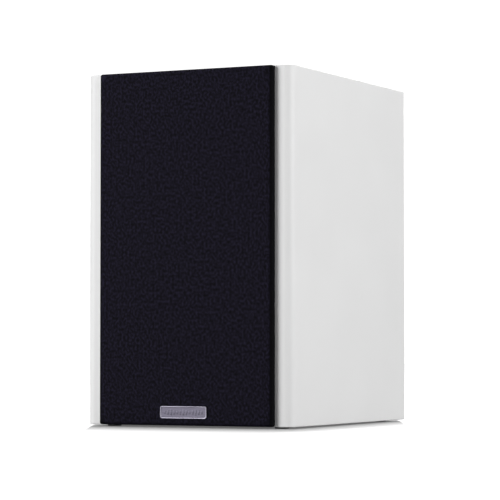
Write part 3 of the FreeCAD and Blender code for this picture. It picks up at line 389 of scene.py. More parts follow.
FINISHES: dict[str, Finish] = {
    # even neutral white, half-gloss, with orange peel only where a light glances off
    "lacquer": Lacquer("white_lacquer_flatted", "#E8E8E8", 0.5, ior=1.5, grain_mm=2.2, relief_mm=0.012,
                       tint=0.008, coat=0.06),
    # brown fibre, seen in the peg holes and inside the box
    "mdf": Speckled("raw_mdf_routed", "#A98A63", 0.85, relief_mm=0.05, second="#7C6142", chip_mm=0.5),
    # near-black with a violet cast, finely mottled, with painted shade darkening it over the two upright
    # edges
    "knit": Knit("grille_cloth_warp_knit", "#110F1A", 0.82, relief_mm=0.25, specular=0.08),
    # dull black moulding, seen from behind when the grille is off
    "grille_plastic": Finish("grille_frame_moulded_abs", "#16161A", 0.55, grain_mm=0.5),
    # grey-violet satin rim, a little lighter than the field
    "badge": Brushed("badge_satin_aluminium", "#8B8895", 0.4, metallic=1.0, grain_mm=0.35, relief_mm=0.01,
                     tint=0.12),
    # darker etched field with faint upright scratches
    "badge_field": Brushed("badge_field_etched_aluminium", "#625F6B", 0.5, metallic=1.0, grain_mm=0.35,
                           relief_mm=0.02, tint=0.18),
    # soft black rubber with one broad highlight along the roll
    "butyl": Finish("surround_moulded_butyl", "#1B1B1D", 0.48, grain_mm=0.4, relief_mm=0.02),
    # dull dark pads, lost in the shade under the box
    "pad_rubber": Finish("foot_die_cut_rubber", "#202022", 0.75, grain_mm=0.35, relief_mm=0.03),
    # open dark foam, dead matt
    "foam": Speckled("gasket_closed_cell_foam", "#2C2C2F", 0.95, relief_mm=0.15, second="#151517",
                     chip_mm=0.5),
    # charcoal fibre with paler flecks, matt
    "paper": Speckled("cone_pressed_paper", "#2A2A2D", 0.72, relief_mm=0.06, second="#1C1C1F", share=0.35,
                      chip_mm=0.7),
    # black cloth sealed with a soft-gloss coat
    "silk": Finish("dome_coated_silk", "#1A1A1C", 0.42, grain_mm=0.35, relief_mm=0.03, sheen=0.2),
    # black paint over a slightly rough casting
    "alloy": Finish("basket_painted_die_casting", "#26262A", 0.5, grain_mm=0.6, relief_mm=0.03),
    # black moulding with a fine spark-eroded grain
    "plastic": Finish("black_moulded_abs", "#1D1D20", 0.42, grain_mm=0.45, relief_mm=0.018),
    # blue-black steel with small crisp highlights
    "screw": Finish("screw_black_oxide_steel", "#2B2B2E", 0.38, metallic=0.9, grain_mm=0.2, relief_mm=0.01),
    # pale grey metal with turning marks
    "zinc": Brushed("zinc_plated_steel", "#A9ADB3", 0.36, metallic=1.0, grain_mm=0.5, relief_mm=0.01),
    # dark grey ceramic, ground but not polished
    "ferrite": Finish("magnet_ground_ferrite", "#37373A", 0.62, grain_mm=0.5, relief_mm=0.03),
    # warm bright plating over turned brass
    "gold": Brushed("terminal_gold_plated_brass", "#D9B25A", 0.22, metallic=1.0, grain_mm=0.3,
                    relief_mm=0.006, stretch=(1.0, 0.05, 1.0)),
    # thin stamped strip, brighter on its edges
    "brass": Brushed("tab_stamped_brass", "#C8A75C", 0.3, metallic=1.0, grain_mm=0.3, relief_mm=0.008),
    # clear deep red with a sharp highlight on each rib
    "red": Finish("knob_red_polycarbonate", "#B3161B", 0.22, ior=1.58, grain_mm=0.6, relief_mm=0.006,
                  coat=0.4),
    # clear black with the same sharp highlights
    "black": Finish("knob_black_polycarbonate", "#141416", 0.22, ior=1.58, grain_mm=0.6, relief_mm=0.006,
                    coat=0.4),
    # orange-brown wire laid turn beside turn
    "copper": Wound("coil_enamelled_copper", "#B96A3B", 0.3, metallic=0.9, relief_mm=0.12),
    # fine copper braid, dull between its strands
    "braid": Wound("braided_tinsel_copper", "#C58A5C", 0.4, metallic=0.9, relief_mm=0.05, pitch_mm=0.5,
                   axis="Y"),
    # bright rolled foil
    "former": Finish("coil_former_rolled_aluminium", "#C4C6CA", 0.3, metallic=1.0, grain_mm=0.4,
                     relief_mm=0.006),
    # amber resin over a visible weave
    "spider": Speckled("spider_resin_dipped_cotton", "#C49A3F", 0.8, relief_mm=0.12, second="#A67C2C",
                       share=0.35, chip_mm=0.5),
    # brown pressed paper with darker fibres
    "phenolic": Speckled("strip_phenolic_paper", "#6B3F20", 0.5, relief_mm=0.02, second="#53301A",
                         chip_mm=0.6),
    # green mask over fine glass weave, glossy
    "board": Finish("board_solder_masked_laminate", "#1F5B32", 0.35, grain_mm=0.8, relief_mm=0.02, coat=0.3),
    # milky white moulding
    "nylon": Finish("pillar_moulded_nylon", "#E4E0D2", 0.45, grain_mm=0.5),
    # amber tape, glossy and slightly wrinkled
    "film": Finish("capacitor_wrapped_film", "#C77E1E", 0.28, grain_mm=0.8, relief_mm=0.02, coat=0.3),
    # chalky off-white block with pits
    "cement": Speckled("resistor_cast_cement", "#DAD6C8", 0.9, relief_mm=0.08, second="#BDB8A6",
                       share=0.3, chip_mm=0.5),
    # smooth red insulation
    "pvc": Finish("lead_extruded_pvc_red", "#A51D22", 0.34, grain_mm=0.8, relief_mm=0.01),
    # smooth black insulation
    "pvc_black": Finish("lead_extruded_pvc_black", "#161618", 0.34, grain_mm=0.8, relief_mm=0.01),
    # off-white tangle of fibre
    "wool": Speckled("wadding_polyester_fibre", "#E9E7DF", 0.95, relief_mm=0.6, second="#CFCDC4", share=0.3,
                     chip_mm=1.4, sheen=0.3),
}

_made: dict[str, bpy.types.Material] = {}


def finish(key: str) -> bpy.types.Material:
    """Returns the material of a named finish, made on its first use."""
    if key not in _made:
        _made[key] = FINISHES[key].build()
    return _made[key]


# ------------------------------------------------------------------ mesh helpers


def frame_matrix(axis: Axis, origin: Sequence[float]) -> Matrix:
    """Returns the matrix from a piece's local axes to the frame's.

    Args:
        axis: the way that local z points.
        origin: the local origin, in the frame.
    """
    turns = {
        Axis.FORWARD: Matrix.Rotation(math.pi / 2, 4, "X"),
        Axis.BACKWARD: Matrix.Rotation(math.pi, 4, "Z") @ Matrix.Rotation(math.pi / 2, 4, "X"),
    }
    return Matrix.Translation(Vector(origin)) @ turns[axis]


def make_object(name: str, bm: bmesh.types.BMesh, materials: Sequence[str],
                place: Matrix | None = None, smooth_deg: float = 35.0) -> bpy.types.Object:
    """Turns a bmesh into a smooth-shaded object at the origin, with its place in its mesh.

    Args:
        name: the piece's name.
        bm: the mesh, which is freed.
        materials: keys of FINISHES, one for each material slot.
        place: local to frame axes.
        smooth_deg: edges sharper than this stay crisp.

    Returns:
        The new object, linked to the scene.
    """
    if place is not None:
        bm.transform(place)
    for face in bm.faces:
        face.smooth = True
    mesh = bpy.data.meshes.new(name)
    bm.to_mesh(mesh)
    bm.free()
    mesh.set_sharp_from_angle(angle=math.radians(smooth_deg))
    for key in materials:
        mesh.materials.append(finish(key))
    made = bpy.data.objects.new(name, mesh)
    bpy.context.scene.collection.objects.link(made)
    return made


def settle(piece: bpy.types.Object, body: Body, slot: str, *nodes: str) -> bpy.types.Object:
    """Rides a finished piece on its body in place of its CAD nodes, and reports it."""
    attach(piece, body.value)
    if nodes:
        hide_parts(*nodes)
    LOG.info("%s on %s: %d faces", piece.name, body.value, len(piece.data.polygons))
    return piece


def bake_modifiers(piece: bpy.types.Object) -> None:
    """Replaces the piece's mesh with its evaluated one and removes its modifiers."""
    graph = bpy.context.evaluated_depsgraph_get()
    mesh = bpy.data.meshes.new_from_object(piece.evaluated_get(graph), preserve_all_data_layers=True,
                                           depsgraph=graph)
    piece.modifiers.clear()
    old = piece.data
    piece.data = mesh
    mesh.name = piece.name
    bpy.data.meshes.remove(old)


def harden(piece: bpy.types.Object) -> None:
    """Weights the normals by face area, so that flats stay flat beside rounded edges."""
    weighted = piece.modifiers.new("flat_faces", "WEIGHTED_NORMAL")
    weighted.keep_sharp = True
    weighted.weight = 80


def lathe(name: str, profile: Sequence[Point], materials: Sequence[str], place: Matrix,
          steps: int = 128, smooth_deg: float = 35.0) -> bpy.types.Object:
    """Turns a closed profile into a ring or a cap.

    Args:
        name: the piece's name.
        profile: (radius, height) points in millimetres, anticlockwise seen with the radius to the right.
        materials: keys of FINISHES.
        place: local to frame axes.
        steps: facets round the axis.
        smooth_deg: edges sharper than this stay crisp.

    Returns:
        The new object.
    """
    bm = bmesh.new()
    rows = []
    for radius, height in profile:
        if radius < 1e-6:
            rows.append([bm.verts.new((0, 0, height * MM))] * steps)
            continue
        rows.append([
            bm.verts.new((radius * MM * math.cos(2 * math.pi * step / steps),
                          radius * MM * math.sin(2 * math.pi * step / steps), height * MM))
            for step in range(steps)
        ])
    bridge(bm, rows + rows[:1], True)
    bmesh.ops.recalc_face_normals(bm, faces=bm.faces)
    return make_object(name, bm, materials, place, smooth_deg)


def bridge(bm: bmesh.types.BMesh, rows: Sequence[Sequence[bmesh.types.BMVert]], closed: bool) -> None:
    """Skins neighbouring rows of points with faces, which meet at a pole where points repeat.

    Args:
        bm: the mesh that holds the points.
        rows: rows with the same number of points.
        closed: whether each row is a loop.
    """
    count = len(rows[0])
    for lower, upper in zip(rows, rows[1:]):
        for step in range(count if closed else count - 1):
            following = (step + 1) % count
            corners = [lower[step], lower[following], upper[following], upper[step]]
            unique = list(dict.fromkeys(corners))
            if len(unique) > 2:
                bm.faces.new(unique)


def arc(centre: Point, radius: float, start_deg: float, end_deg: float, steps: int = 10) -> list[Point]:
    """Returns points along an arc, both ends included, in the units of its arguments."""
    points = []
    for step in range(steps + 1):
        angle = math.radians(start_deg + (end_deg - start_deg) * step / steps)
        points.append((centre[0] + radius * math.cos(angle), centre[1] + radius * math.sin(angle)))
    return points


def rounded_loop(half_x: float, half_y: float, radius: float, steps: int) -> list[Point]:
    """Returns a rounded rectangle about the origin, anticlockwise from the lower right corner."""
    radius = max(radius, 0.0)
    points: list[Point] = []
    for number, (side_x, side_y) in enumerate(((1, -1), (1, 1), (-1, 1), (-1, -1))):
        centre = (side_x * (half_x - radius), side_y * (half_y - radius))
        points += arc(centre, radius, 90 * number - 90, 90 * number, steps)
    return points


def stack(name: str, levels: Sequence[tuple[Sequence[Point], float]], materials: Sequence[str],
          place: Matrix, smooth_deg: float = 35.0, top_material: int = 0) -> bpy.types.Object:
    """Skins a stack of loops with the same number of points, and caps both ends.

    Args:
        name: the piece's name.
        levels: loops in metres, each with its height.
        materials: keys of FINISHES.
        place: local to frame axes.
        smooth_deg: edges sharper than this stay crisp.
        top_material: material slot of the top cap.

    Returns:
        The new object.
    """
    bm = bmesh.new()
    rows = [[bm.verts.new((x, y, level)) for x, y in loop] for loop, level in levels]
    bridge(bm, rows, True)
    bm.faces.new(rows[0][::-1])
    top = bm.faces.new(rows[-1])
    top.material_index = top_material
    bmesh.ops.remove_doubles(bm, verts=bm.verts, dist=1e-7)
    return make_object(name, bm, materials, place, smooth_deg)


def merged_copy(name: str, node: bpy.types.Object, materials: Sequence[str],
                smooth_deg: float = 32.0) -> bpy.types.Object:
    """Copies a CAD node's mesh, welds its triangles and shades its curved faces smooth.

    Args:
        name: the new piece's name.
        node: the CAD node's object, which stays as it is.
        materials: keys of FINISHES; separate solids take them in turn, from left to right.
        smooth_deg: edges sharper than this stay crisp.

    Returns:
        The new object.
    """
    bm = bmesh.new()
    bm.from_mesh(node.data)
    bmesh.ops.remove_doubles(bm, verts=bm.verts, dist=1e-6)
    bmesh.ops.dissolve_limit(bm, angle_limit=math.radians(0.5), verts=bm.verts, edges=bm.edges,
                             delimit={"NORMAL"})
    solids = sorted(islands(bm), key=lambda faces: min(face.calc_center_median().x for face in faces))
    for number, faces in enumerate(solids):
        for face in faces:
            face.material_index = number % len(materials)
    return make_object(name, bm, materials, None, smooth_deg)


def islands(bm: bmesh.types.BMesh) -> list[list[bmesh.types.BMFace]]:
    """Returns the faces of each separate solid in a welded mesh."""
    found = []
    seen: set[bmesh.types.BMFace] = set()
    for start in bm.faces:
        if start in seen:
            continue
        seen.add(start)
        faces = [start]
        for face in faces:
            for edge in face.edges:
                for other in edge.link_faces:
                    if other not in seen:
                        seen.add(other)
                        faces.append(other)
        found.append(faces)
    return found


def solid_boxes(node: bpy.types.Object) -> list[tuple[Vector, Vector]]:
    """Returns the lowest and highest corner of each separate solid in a CAD node."""
    bm = bmesh.new()
    bm.from_mesh(node.data)
    bmesh.ops.remove_doubles(bm, verts=bm.verts, dist=1e-6)
    boxes = []
    for faces in islands(bm):
        corners = [vert.co for face in faces for vert in face.verts]
        boxes.append((Vector([min(c[i] for c in corners) for i in range(3)]),
                      Vector([max(c[i] for c in corners) for i in range(3)])))
    bm.free()
    return boxes


def carve(piece: bpy.types.Object, tools: Sequence[bpy.types.Object], operation: str) -> None:
    """Joins tools to a piece or cuts them out of it, and removes them.

    Args:
        piece: the piece that stays.
        tools: closed meshes.
        operation: UNION or DIFFERENCE.
    """
    for number, tool in enumerate(tools):
        step = piece.modifiers.new("step_%d" % number, "BOOLEAN")
        step.object = tool
        step.operation = operation
        step.solver = "EXACT"
        step.material_mode = "TRANSFER"
    bake_modifiers(piece)
    for tool in tools:
        bpy.data.objects.remove(tool)
    piece.data.set_sharp_from_angle(angle=math.radians(35))


def soften(piece: bpy.types.Object, width: float) -> bpy.types.Object:
    """Rounds the sharp edges of a cut or moulded piece."""
    rounding = piece.modifiers.new("rounding", "BEVEL")
    rounding.width = width
    rounding.segments = 2
    rounding.limit_method = "ANGLE"
    rounding.angle_limit = math.radians(50)
    rounding.harden_normals = True
    bake_modifiers(piece)
    return piece


def arc_between(start: Point, end: Point, radius: float, steps: int = 12) -> list[Point]:
    """Returns points on the arc from start to end, both left out; it turns left for a radius above 0."""
    half = Vector((end[0] - start[0], end[1] - start[1])) / 2
    rise = math.sqrt(max(radius * radius - half.length_squared, 0.0))
    side = Vector((-half.y, half.x)).normalized() * math.copysign(rise, radius)
    centre = Vector(start) + half + side
    first = math.atan2(start[1] - centre.y, start[0] - centre.x)
    sweep = 2 * math.asin(min(1.0, half.length / abs(radius))) * math.copysign(1, radius)
    return [(centre.x + abs(radius) * math.cos(first + sweep * step / steps),
             centre.y + abs(radius) * math.sin(first + sweep * step / steps))
            for step in range(1, steps)]


def flex_ring(piece: bpy.types.Object, node: str, moving: Body) -> None:
    """Bakes a soft ring, which lies between the cabinet and a moving body, into place and hides the CAD node
    that it replaces.

    Args:
        piece: the ring, which has no parent.
        node: the CAD node that it replaces.
        moving: the body that its inner edge is glued to.
    """
    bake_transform(piece)
    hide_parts(node)
    LOG.info("%s flexes with %s: %d faces", piece.name, moving.value, len(piece.data.polygons))


def scatter_tree() -> bpy.types.NodeTree:
    """Returns the tree that sets copies of a part out on points, joins a base and dresses them."""
    name = "set_out"
    if name in bpy.data.node_groups:
        return bpy.data.node_groups[name]
    tree = bpy.data.node_groups.new(name, "GeometryNodeTree")
    for label, kind in (("Geometry", "NodeSocketGeometry"), ("Part", "NodeSocketObject"),
                        ("Base", "NodeSocketObject"), ("Finish", "NodeSocketMaterial")):
        tree.interface.new_socket(label, in_out="INPUT", socket_type=kind)
    tree.interface.new_socket("Geometry", in_out="OUTPUT", socket_type="NodeSocketGeometry")
    given = add_node(tree, "NodeGroupInput", {}, {})
    turn = add_node(tree, "GeometryNodeInputNamedAttribute", {"data_type": "FLOAT"}, {"Name": "turn"})
    euler = add_node(tree, "ShaderNodeCombineXYZ", {}, {"Y": turn.outputs["Attribute"]})
    rotation = add_node(tree, "FunctionNodeEulerToRotation", {}, {0: euler.outputs[0]})
    part = add_node(tree, "GeometryNodeObjectInfo", {}, {"Object": given.outputs["Part"]})
    base = add_node(tree, "GeometryNodeObjectInfo", {}, {"Object": given.outputs["Base"]})
    copies = add_node(tree, "GeometryNodeInstanceOnPoints", {}, {
        "Points": given.outputs["Geometry"], "Instance": part.outputs["Geometry"],
        "Rotation": rotation.outputs[0],
    })
    joined = add_node(tree, "GeometryNodeJoinGeometry", {}, {"Geometry": copies.outputs["Instances"]})
    tree.links.new(base.outputs["Geometry"], joined.inputs["Geometry"])
    real = add_node(tree, "GeometryNodeRealizeInstances", {}, {"Geometry": joined.outputs[0]})
    dressed = add_node(tree, "GeometryNodeSetMaterial", {}, {
        "Geometry": real.outputs[0], "Material": given.outputs["Finish"],
    })
    add_node(tree, "NodeGroupOutput", {}, {"Geometry": dressed.outputs[0]})
    return tree


def set_out(name: str, part: bpy.types.Object, spots: Sequence[Vector], turns: Sequence[float],
            key: str, base: bpy.types.Object | None = None) -> bpy.types.Object:
    """Sets copies of a part out on spots with Geometry Nodes, as one plain mesh.

    Args:
        name: the piece's name.
        part: one copy at the origin, which is removed at the end.
        spots: where the copies go.
        turns: how far each is turned round the frame's y axis, in radians.
        key: key of FINISHES.
        base: a piece to join to the copies, removed at the end.

    Returns:
        The new object.
    """
    mesh = bpy.data.meshes.new(name)
    mesh.from_pydata([tuple(spot) for spot in spots], [], [])
    mesh.attributes.new("turn", "FLOAT", "POINT").data.foreach_set("value", list(turns))
    made = bpy.data.objects.new(name, mesh)
    bpy.context.scene.collection.objects.link(made)
    tree = scatter_tree()
    sockets = {item.name: item.identifier for item in tree.interface.items_tree if item.in_out == "INPUT"}
    modifier = made.modifiers.new("set_out", "NODES")
    modifier.node_group = tree
    modifier[sockets["Part"]] = part
    modifier[sockets["Base"]] = base
    modifier[sockets["Finish"]] = finish(key)
    bake_modifiers(made)
    for used in (part, base):
        if used is not None:
            bpy.data.objects.remove(used)
    return made


def centre_of(node: str) -> Vector:
    """Returns the middle of a CAD node's box."""
    low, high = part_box(node)
    return (low + high) / 2


# ------------------------------------------------------------------ cabinet


@dataclass
class Cabinet:
    """The lacquered box: one sprayed skin over the six panels, hollow, with its cut-outs."""

    edge_radius: float = 8 * MM
    edge_break: float = 1 * MM
    panel: float = 15 * MM
    flange_gap: float = 0.3 * MM
    woofer_cutout: float = 61 * MM
    tweeter_cutout: float = 38 * MM
    rebate: float = 4.6 * MM
    socket_radius: float = 5 * MM
    port_hole: float = 28.5 * MM
    cup_hole: tuple[float, float, float] = (42 * MM, 28 * MM, 4 * MM)
    foot_radius: float = 6 * MM
    overrun: float = 10 * MM
    facets: int = 96

    def build(self) -> None:
        """Makes the shell and the feet."""
        self.shell()
        self.feet()

    def outer_block(self, low: Vector, high: Vector) -> bmesh.types.BMesh:
        """Makes the outside of the box with its rounded and broken edges."""
        bm = bmesh.new()
        bmesh.ops.create_cube(bm, size=1.0)
        size = high - low
        bmesh.ops.scale(bm, vec=size, verts=bm.verts)
        bmesh.ops.translate(bm, vec=(low + high) / 2, verts=bm.verts)
        upright = [edge for edge in bm.edges
                   if all(abs(vert.co.y - low.y) < 1e-6 for vert in edge.verts)
                   and abs(edge.verts[0].co.x - edge.verts[1].co.x) < 1e-6]
        bmesh.ops.bevel(bm, geom=upright, offset=self.edge_radius, segments=16, profile=0.5,
                        affect="EDGES")
        sharp = [edge for edge in bm.edges if edge.calc_face_angle(0) > math.radians(60)]
        bmesh.ops.bevel(bm, geom=sharp, offset=self.edge_break, segments=4, profile=0.5,
                        affect="EDGES")
        return bm

    def cutter(self, loop: Sequence[Point], centre: Vector, near: float, far: float) -> bpy.types.Object:
        """Makes a prism along y that cuts a hole with the loop's outline."""
        height = far - near
        place = Matrix.Translation((centre.x, near, centre.z)) @ Matrix.Rotation(-math.pi / 2, 4, "X")
        return stack("cutter", ((loop, 0.0), (loop, height)), ("mdf",), place)

    def round_cutter(self, centre: Vector, radius: float, near: float, far: float) -> bpy.types.Object:
        """Makes a round prism along y."""
        loop = arc((0.0, 0.0), radius, 0, 360 - 360 / self.facets, self.facets - 1)
        return self.cutter(loop, centre, near, far)

    def cutters(self, low: Vector, high: Vector) -> Iterable[bpy.types.Object]:
        """Makes the solids that are taken out of the block."""
        front = low.y
        over = self.overrun
        baffle_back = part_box("front_baffle")[1].y
        inside_low = Vector((low.x, baffle_back, low.z)) + Vector((self.panel, 0, self.panel))
        inside_high = high - Vector((self.panel, self.panel, self.panel))
        middle = (inside_low + inside_high) / 2
        half = (inside_high - inside_low) / 2
        yield self.cutter(rounded_loop(half.x, half.z, 0.5 * MM, 2), middle, inside_low.y, inside_high.y)
        for flange, radius in (("woofer_basket", self.woofer_cutout),
                               ("tweeter_faceplate", self.tweeter_cutout)):
            node_low, node_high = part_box(flange)
            centre = (node_low + node_high) / 2
            rim = (node_high.x - node_low.x) / 2 + self.flange_gap
            yield self.round_cutter(centre, rim, front - over, front + self.rebate)
            yield self.round_cutter(centre, radius, front, baffle_back + over)
        sockets_low, sockets_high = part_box("grille_sockets")
        radius = self.socket_radius
        for x in (sockets_low.x + radius, sockets_high.x - radius):
            for z in (sockets_low.z + radius, sockets_high.z - radius):
                yield self.round_cutter(Vector((x, 0, z)), radius, front - over, sockets_high.y)
        yield self.round_cutter(centre_of("port_tube"), self.port_hole, high.y - self.panel - over,
                                high.y + over)
        cup = centre_of("terminal_cup")
        half_x, half_z, corner = self.cup_hole
        yield self.cutter(rounded_loop(half_x, half_z, corner, 5), cup, high.y - self.panel - over,
                          high.y + over)

    def shell(self) -> None:
        """Carves the block and rides it on the cabinet."""
        low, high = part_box("front_baffle")
        high.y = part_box("rear_panel")[1].y
        piece = make_object("cabinet_shell", self.outer_block(low, high), ("lacquer", "mdf"))
        carve(piece, list(self.cutters(low, high)), "DIFFERENCE")
        harden(piece)
        settle(piece, Body.CABINET, "white_lacquer", "front_baffle", "left_side_panel", "right_side_panel",
               "top_panel", "bottom_panel", "rear_panel")

    def feet(self) -> None:
        """Makes the four die-cut pads, slightly barrelled, as one piece."""
        low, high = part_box("feet")
        radius = self.foot_radius
        thick = high.z - low.z
        bm = bmesh.new()
        steps = 48
        profile = ((0.0, 0.0), (radius - 0.4 * MM, 0.0), (radius - 0.1 * MM, 0.12 * MM),
                   (radius, thick / 2), (radius - 0.1 * MM, thick), (0.0, thick))
        for x in (low.x + radius, high.x - radius):
            for y in (low.y + radius, high.y - radius):
                rows = []
                for reach, level in profile:
                    rows.append([bm.verts.new((x + reach * math.cos(2 * math.pi * s / steps),
                                               y + reach * math.sin(2 * math.pi * s / steps),
                                               low.z + level)) for s in range(steps)])
                bridge(bm, rows, True)
        bmesh.ops.remove_doubles(bm, verts=bm.verts, dist=1e-7)
        bmesh.ops.recalc_face_normals(bm, faces=bm.faces)
        settle(make_object("foot_pads", bm, ("pad_rubber",)), Body.CABINET, "foot_rubber", "feet")


# ------------------------------------------------------------------ grille


GRILLE_BARS = ("grille_stiles", "grille_rails")


@dataclass
class Grille:
    """The pull-off grille: frame, stretched cloth and badge."""

    cloth: float = 0.5 * MM
    corner: float = 2.0 * MM
    edge_round: float = 3.2 * MM
    border: float = 2.8 * MM
    hem: float = 11.0 * MM
    back_round: float = 0.3 * MM
    cells: tuple[int, int] = (40, 74)
    badge_thick: float = 1.0 * MM
    badge_rim: float = 0.9 * MM
    badge_recess: float = 0.35 * MM
    badge_soft: float = 0.18 * MM
    bar_heights: tuple[float, ...] = (0.45, 0.7, 0.95, 0.7, 0.5, 0.8, 1.0, 0.8, 0.5, 0.7, 0.95, 0.7, 0.45)

    def build(self, nodes: dict[str, bpy.types.Object]) -> None:
        """Makes the three pieces of the grille.

        Args:
            nodes: the CAD nodes by name.
        """
        frame, *bars = [merged_copy("bar", nodes[name], ("grille_plastic",)) for name in GRILLE_BARS]
        frame.name = "grille_frame_moulding"
        carve(frame, bars, "UNION")
        settle(soften(frame, 0.4 * MM), Body.GRILLE, "grille_plastic", *GRILLE_BARS)
        self.knit()
        self.badge()

    def section(self) -> list[tuple[float, float, float]]:
        """Returns the cloth's path over the frame's edge, from the face round to the hem.

        Returns:
            (inset from the outline, depth behind the face, distance along the cloth) in metres.
        """
        low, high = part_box("grille_cloth_wrap")
        deep = high.y - low.y
        path = [(self.edge_round + self.border, 0.0)]
        for angle in range(0, 91, 10):
            bend = math.radians(angle)
            path.append((self.edge_round * (1 - math.sin(bend)), self.edge_round * (1 - math.cos(bend))))
        for share in (0.4, 0.8):
            path.append((0.0, self.edge_round + (deep - self.back_round - self.edge_round) * share))
        for angle in range(0, 91, 30):
            bend = math.radians(angle)
            path.append((self.back_round * (1 - math.cos(bend)),
                         deep - self.back_round * (1 - math.sin(bend))))
        path += [(self.hem * share, deep) for share in (0.3, 0.65, 1.0)]
        run = 0.0
        measured = [(path[0][0], path[0][1], 0.0)]
        for before, after in zip(path, path[1:]):
            run += math.hypot(after[0] - before[0], after[1] - before[1])
            measured.append((after[0], after[1], run))
        return measured

    def ring(self, half: Point, inset: float) -> list[Point]:
        """Returns one loop of the cloth: even stations on the sides and fine ones at the corners."""
        inner = self.edge_round + self.border
        stations = []
        radius = max(self.corner - inset, 0.0)
        pull = max(self.corner, inset)
        for number, (side_x, side_y) in enumerate(((1, -1), (1, 1), (-1, 1), (-1, -1))):
            centre = (side_x * (half[0] - pull), side_y * (half[1] - pull))
            stations += arc(centre, radius, 90 * number - 90, 90 * number, 6)
            count = self.cells[1 if number % 2 == 0 else 0]
            for step in range(count + 1):
                along = (2 * step / count - 1) * (half[1 if number % 2 == 0 else 0] - inner)
                if number == 0:
                    stations.append((half[0] - inset, along))
                elif number == 1:
                    stations.append((-along, half[1] - inset))
                elif number == 2:
                    stations.append((inset - half[0], -along))
                else:
                    stations.append((along, inset - half[1]))
        return stations

    def knit(self) -> None:
        """Makes the stretched cloth: flat over the windows, tight round the frame, hemmed behind."""
        low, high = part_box("grille_cloth_wrap")
        half = ((high.x - low.x) / 2, (high.z - low.z) / 2)
        middle = (low + high) / 2
        bm = bmesh.new()
        flat = bm.loops.layers.uv.new("flat")
        spots: dict[bmesh.types.BMVert, Point] = {}
        section = self.section()
        rows = []
        outline = self.ring(half, section[0][0])
        for inset, depth, run in section:
            row = []
            for (x, z), (start_x, start_z) in zip(self.ring(half, inset), outline):
                vert = bm.verts.new((x, depth, z))
                outward = Vector((start_x, start_z))
                way_x = 0.0 if abs(start_x) < half[0] - section[0][0] - 1e-6 else math.copysign(1, start_x)
                way_z = 0.0 if abs(start_z) < half[1] - section[0][0] - 1e-6 else math.copysign(1, start_z)
                length = math.hypot(way_x, way_z) or 1.0
                spots[vert] = (outward.x + run * way_x / length, outward.y + run * way_z / length)
                row.append(vert)
            rows.append(row)
        bridge(bm, rows, True)
        self.fill_face(bm, half, section[0][0], spots)
        for face in bm.faces:
            for loop in face.loops:
                loop[flat].uv = spots[loop.vert]
        bmesh.ops.remove_doubles(bm, verts=bm.verts, dist=1e-6)
        bmesh.ops.dissolve_degenerate(bm, edges=bm.edges, dist=1e-7)
        bmesh.ops.recalc_face_normals(bm, faces=bm.faces)
        place = Matrix.Translation((middle.x, low.y, middle.z))
        cloth = make_object("grille_cloth_knit", bm, ("knit",), place, 70)
        if cloth.data.polygons[-1].normal.y > 0:
            cloth.data.flip_normals()
        thick = cloth.modifiers.new("thickness", "SOLIDIFY")
        thick.thickness = self.cloth
        thick.offset = -1.0
        bake_modifiers(cloth)
        settle(cloth, Body.GRILLE, "grille_knit", "grille_cloth", "grille_cloth_wrap")

    def fill_face(self, bm: bmesh.types.BMesh, half: Point, inset: float,
                  spots: dict[bmesh.types.BMVert, Point]) -> None:
        """Fills the face inside the first loop with an even grid."""
        across, tall = self.cells
        grid = []
        for row in range(tall + 1):
            z = (2 * row / tall - 1) * (half[1] - inset)
            line = []
            for column in range(across + 1):
                x = (2 * column / across - 1) * (half[0] - inset)
                vert = bm.verts.new((x, 0.0, z))
                spots[vert] = (x, z)
                line.append(vert)
            grid.append(line)
        bridge(bm, grid, False)

    def badge(self) -> None:
        """Makes the badge: a satin plate with a raised rim and a generic row of level bars."""
        low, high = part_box("grille_badge")
        half = ((high.x - low.x) / 2, (high.z - low.z) / 2)
        thick, rim, deep, soft = self.badge_thick, self.badge_rim, self.badge_recess, self.badge_soft
        place = frame_matrix(Axis.FORWARD, ((low.x + high.x) / 2, low.y + thick, (low.z + high.z) / 2))
        steps = 8

        def loop(inset: float, radius: float) -> list[Point]:
            """One outline of the badge, set in from its edge."""
            return rounded_loop(half[0] - inset, half[1] - inset, radius, steps)

        levels = [
            (loop(0.0, 2.0 * MM), 0.0),
            (loop(0.0, 2.0 * MM), thick - soft),
            (loop(soft * 0.3, 2.0 * MM - soft * 0.3), thick - soft * 0.3),
            (loop(soft, 2.0 * MM - soft), thick),
            (loop(rim - soft, 1.3 * MM), thick),
            (loop(rim, 1.2 * MM), thick - soft * 0.7),
            (loop(rim + soft * 0.6, 1.1 * MM), thick - deep),
        ]
        plate = stack("badge_plate", levels, ("badge", "badge_field"), place, 50, top_material=1)
        settle(plate, Body.GRILLE, "badge_metal", "grille_badge")
        self.level_bars(place, thick - deep, (half[0] - rim, half[1] - rim))

    def level_bars(self, place: Matrix, floor: float, half: Point) -> None:
        """Makes a plain row of raised bars of several heights across the badge's field."""
        bm = bmesh.new()
        heights = self.bar_heights
        pitch = 2 * half[0] / (len(heights) + 1.5)
        for number, share in enumerate(heights):
            x = (number - (len(heights) - 1) / 2) * pitch
            bar = [(x + px, pz) for px, pz in rounded_loop(pitch * 0.26, share * half[1] * 0.62, 0.3 * MM, 3)]
            top = [(x + px, pz) for px, pz in rounded_loop(pitch * 0.2, share * half[1] * 0.56, 0.25 * MM, 3)]
            rows = [[bm.verts.new((px, pz, floor - 0.05 * MM)) for px, pz in bar],
                    [bm.verts.new((px, pz, floor + 0.12 * MM)) for px, pz in bar],
                    [bm.verts.new((px, pz, floor + 0.18 * MM)) for px, pz in top]]
            bridge(bm, rows, True)
            bm.faces.new(rows[-1])
            bm.faces.new(rows[0][::-1])
        settle(make_object("badge_level_bars", bm, ("badge_field",), place, 50), Body.GRILLE, "badge_metal")


# ------------------------------------------------------------------ drivers and fittings


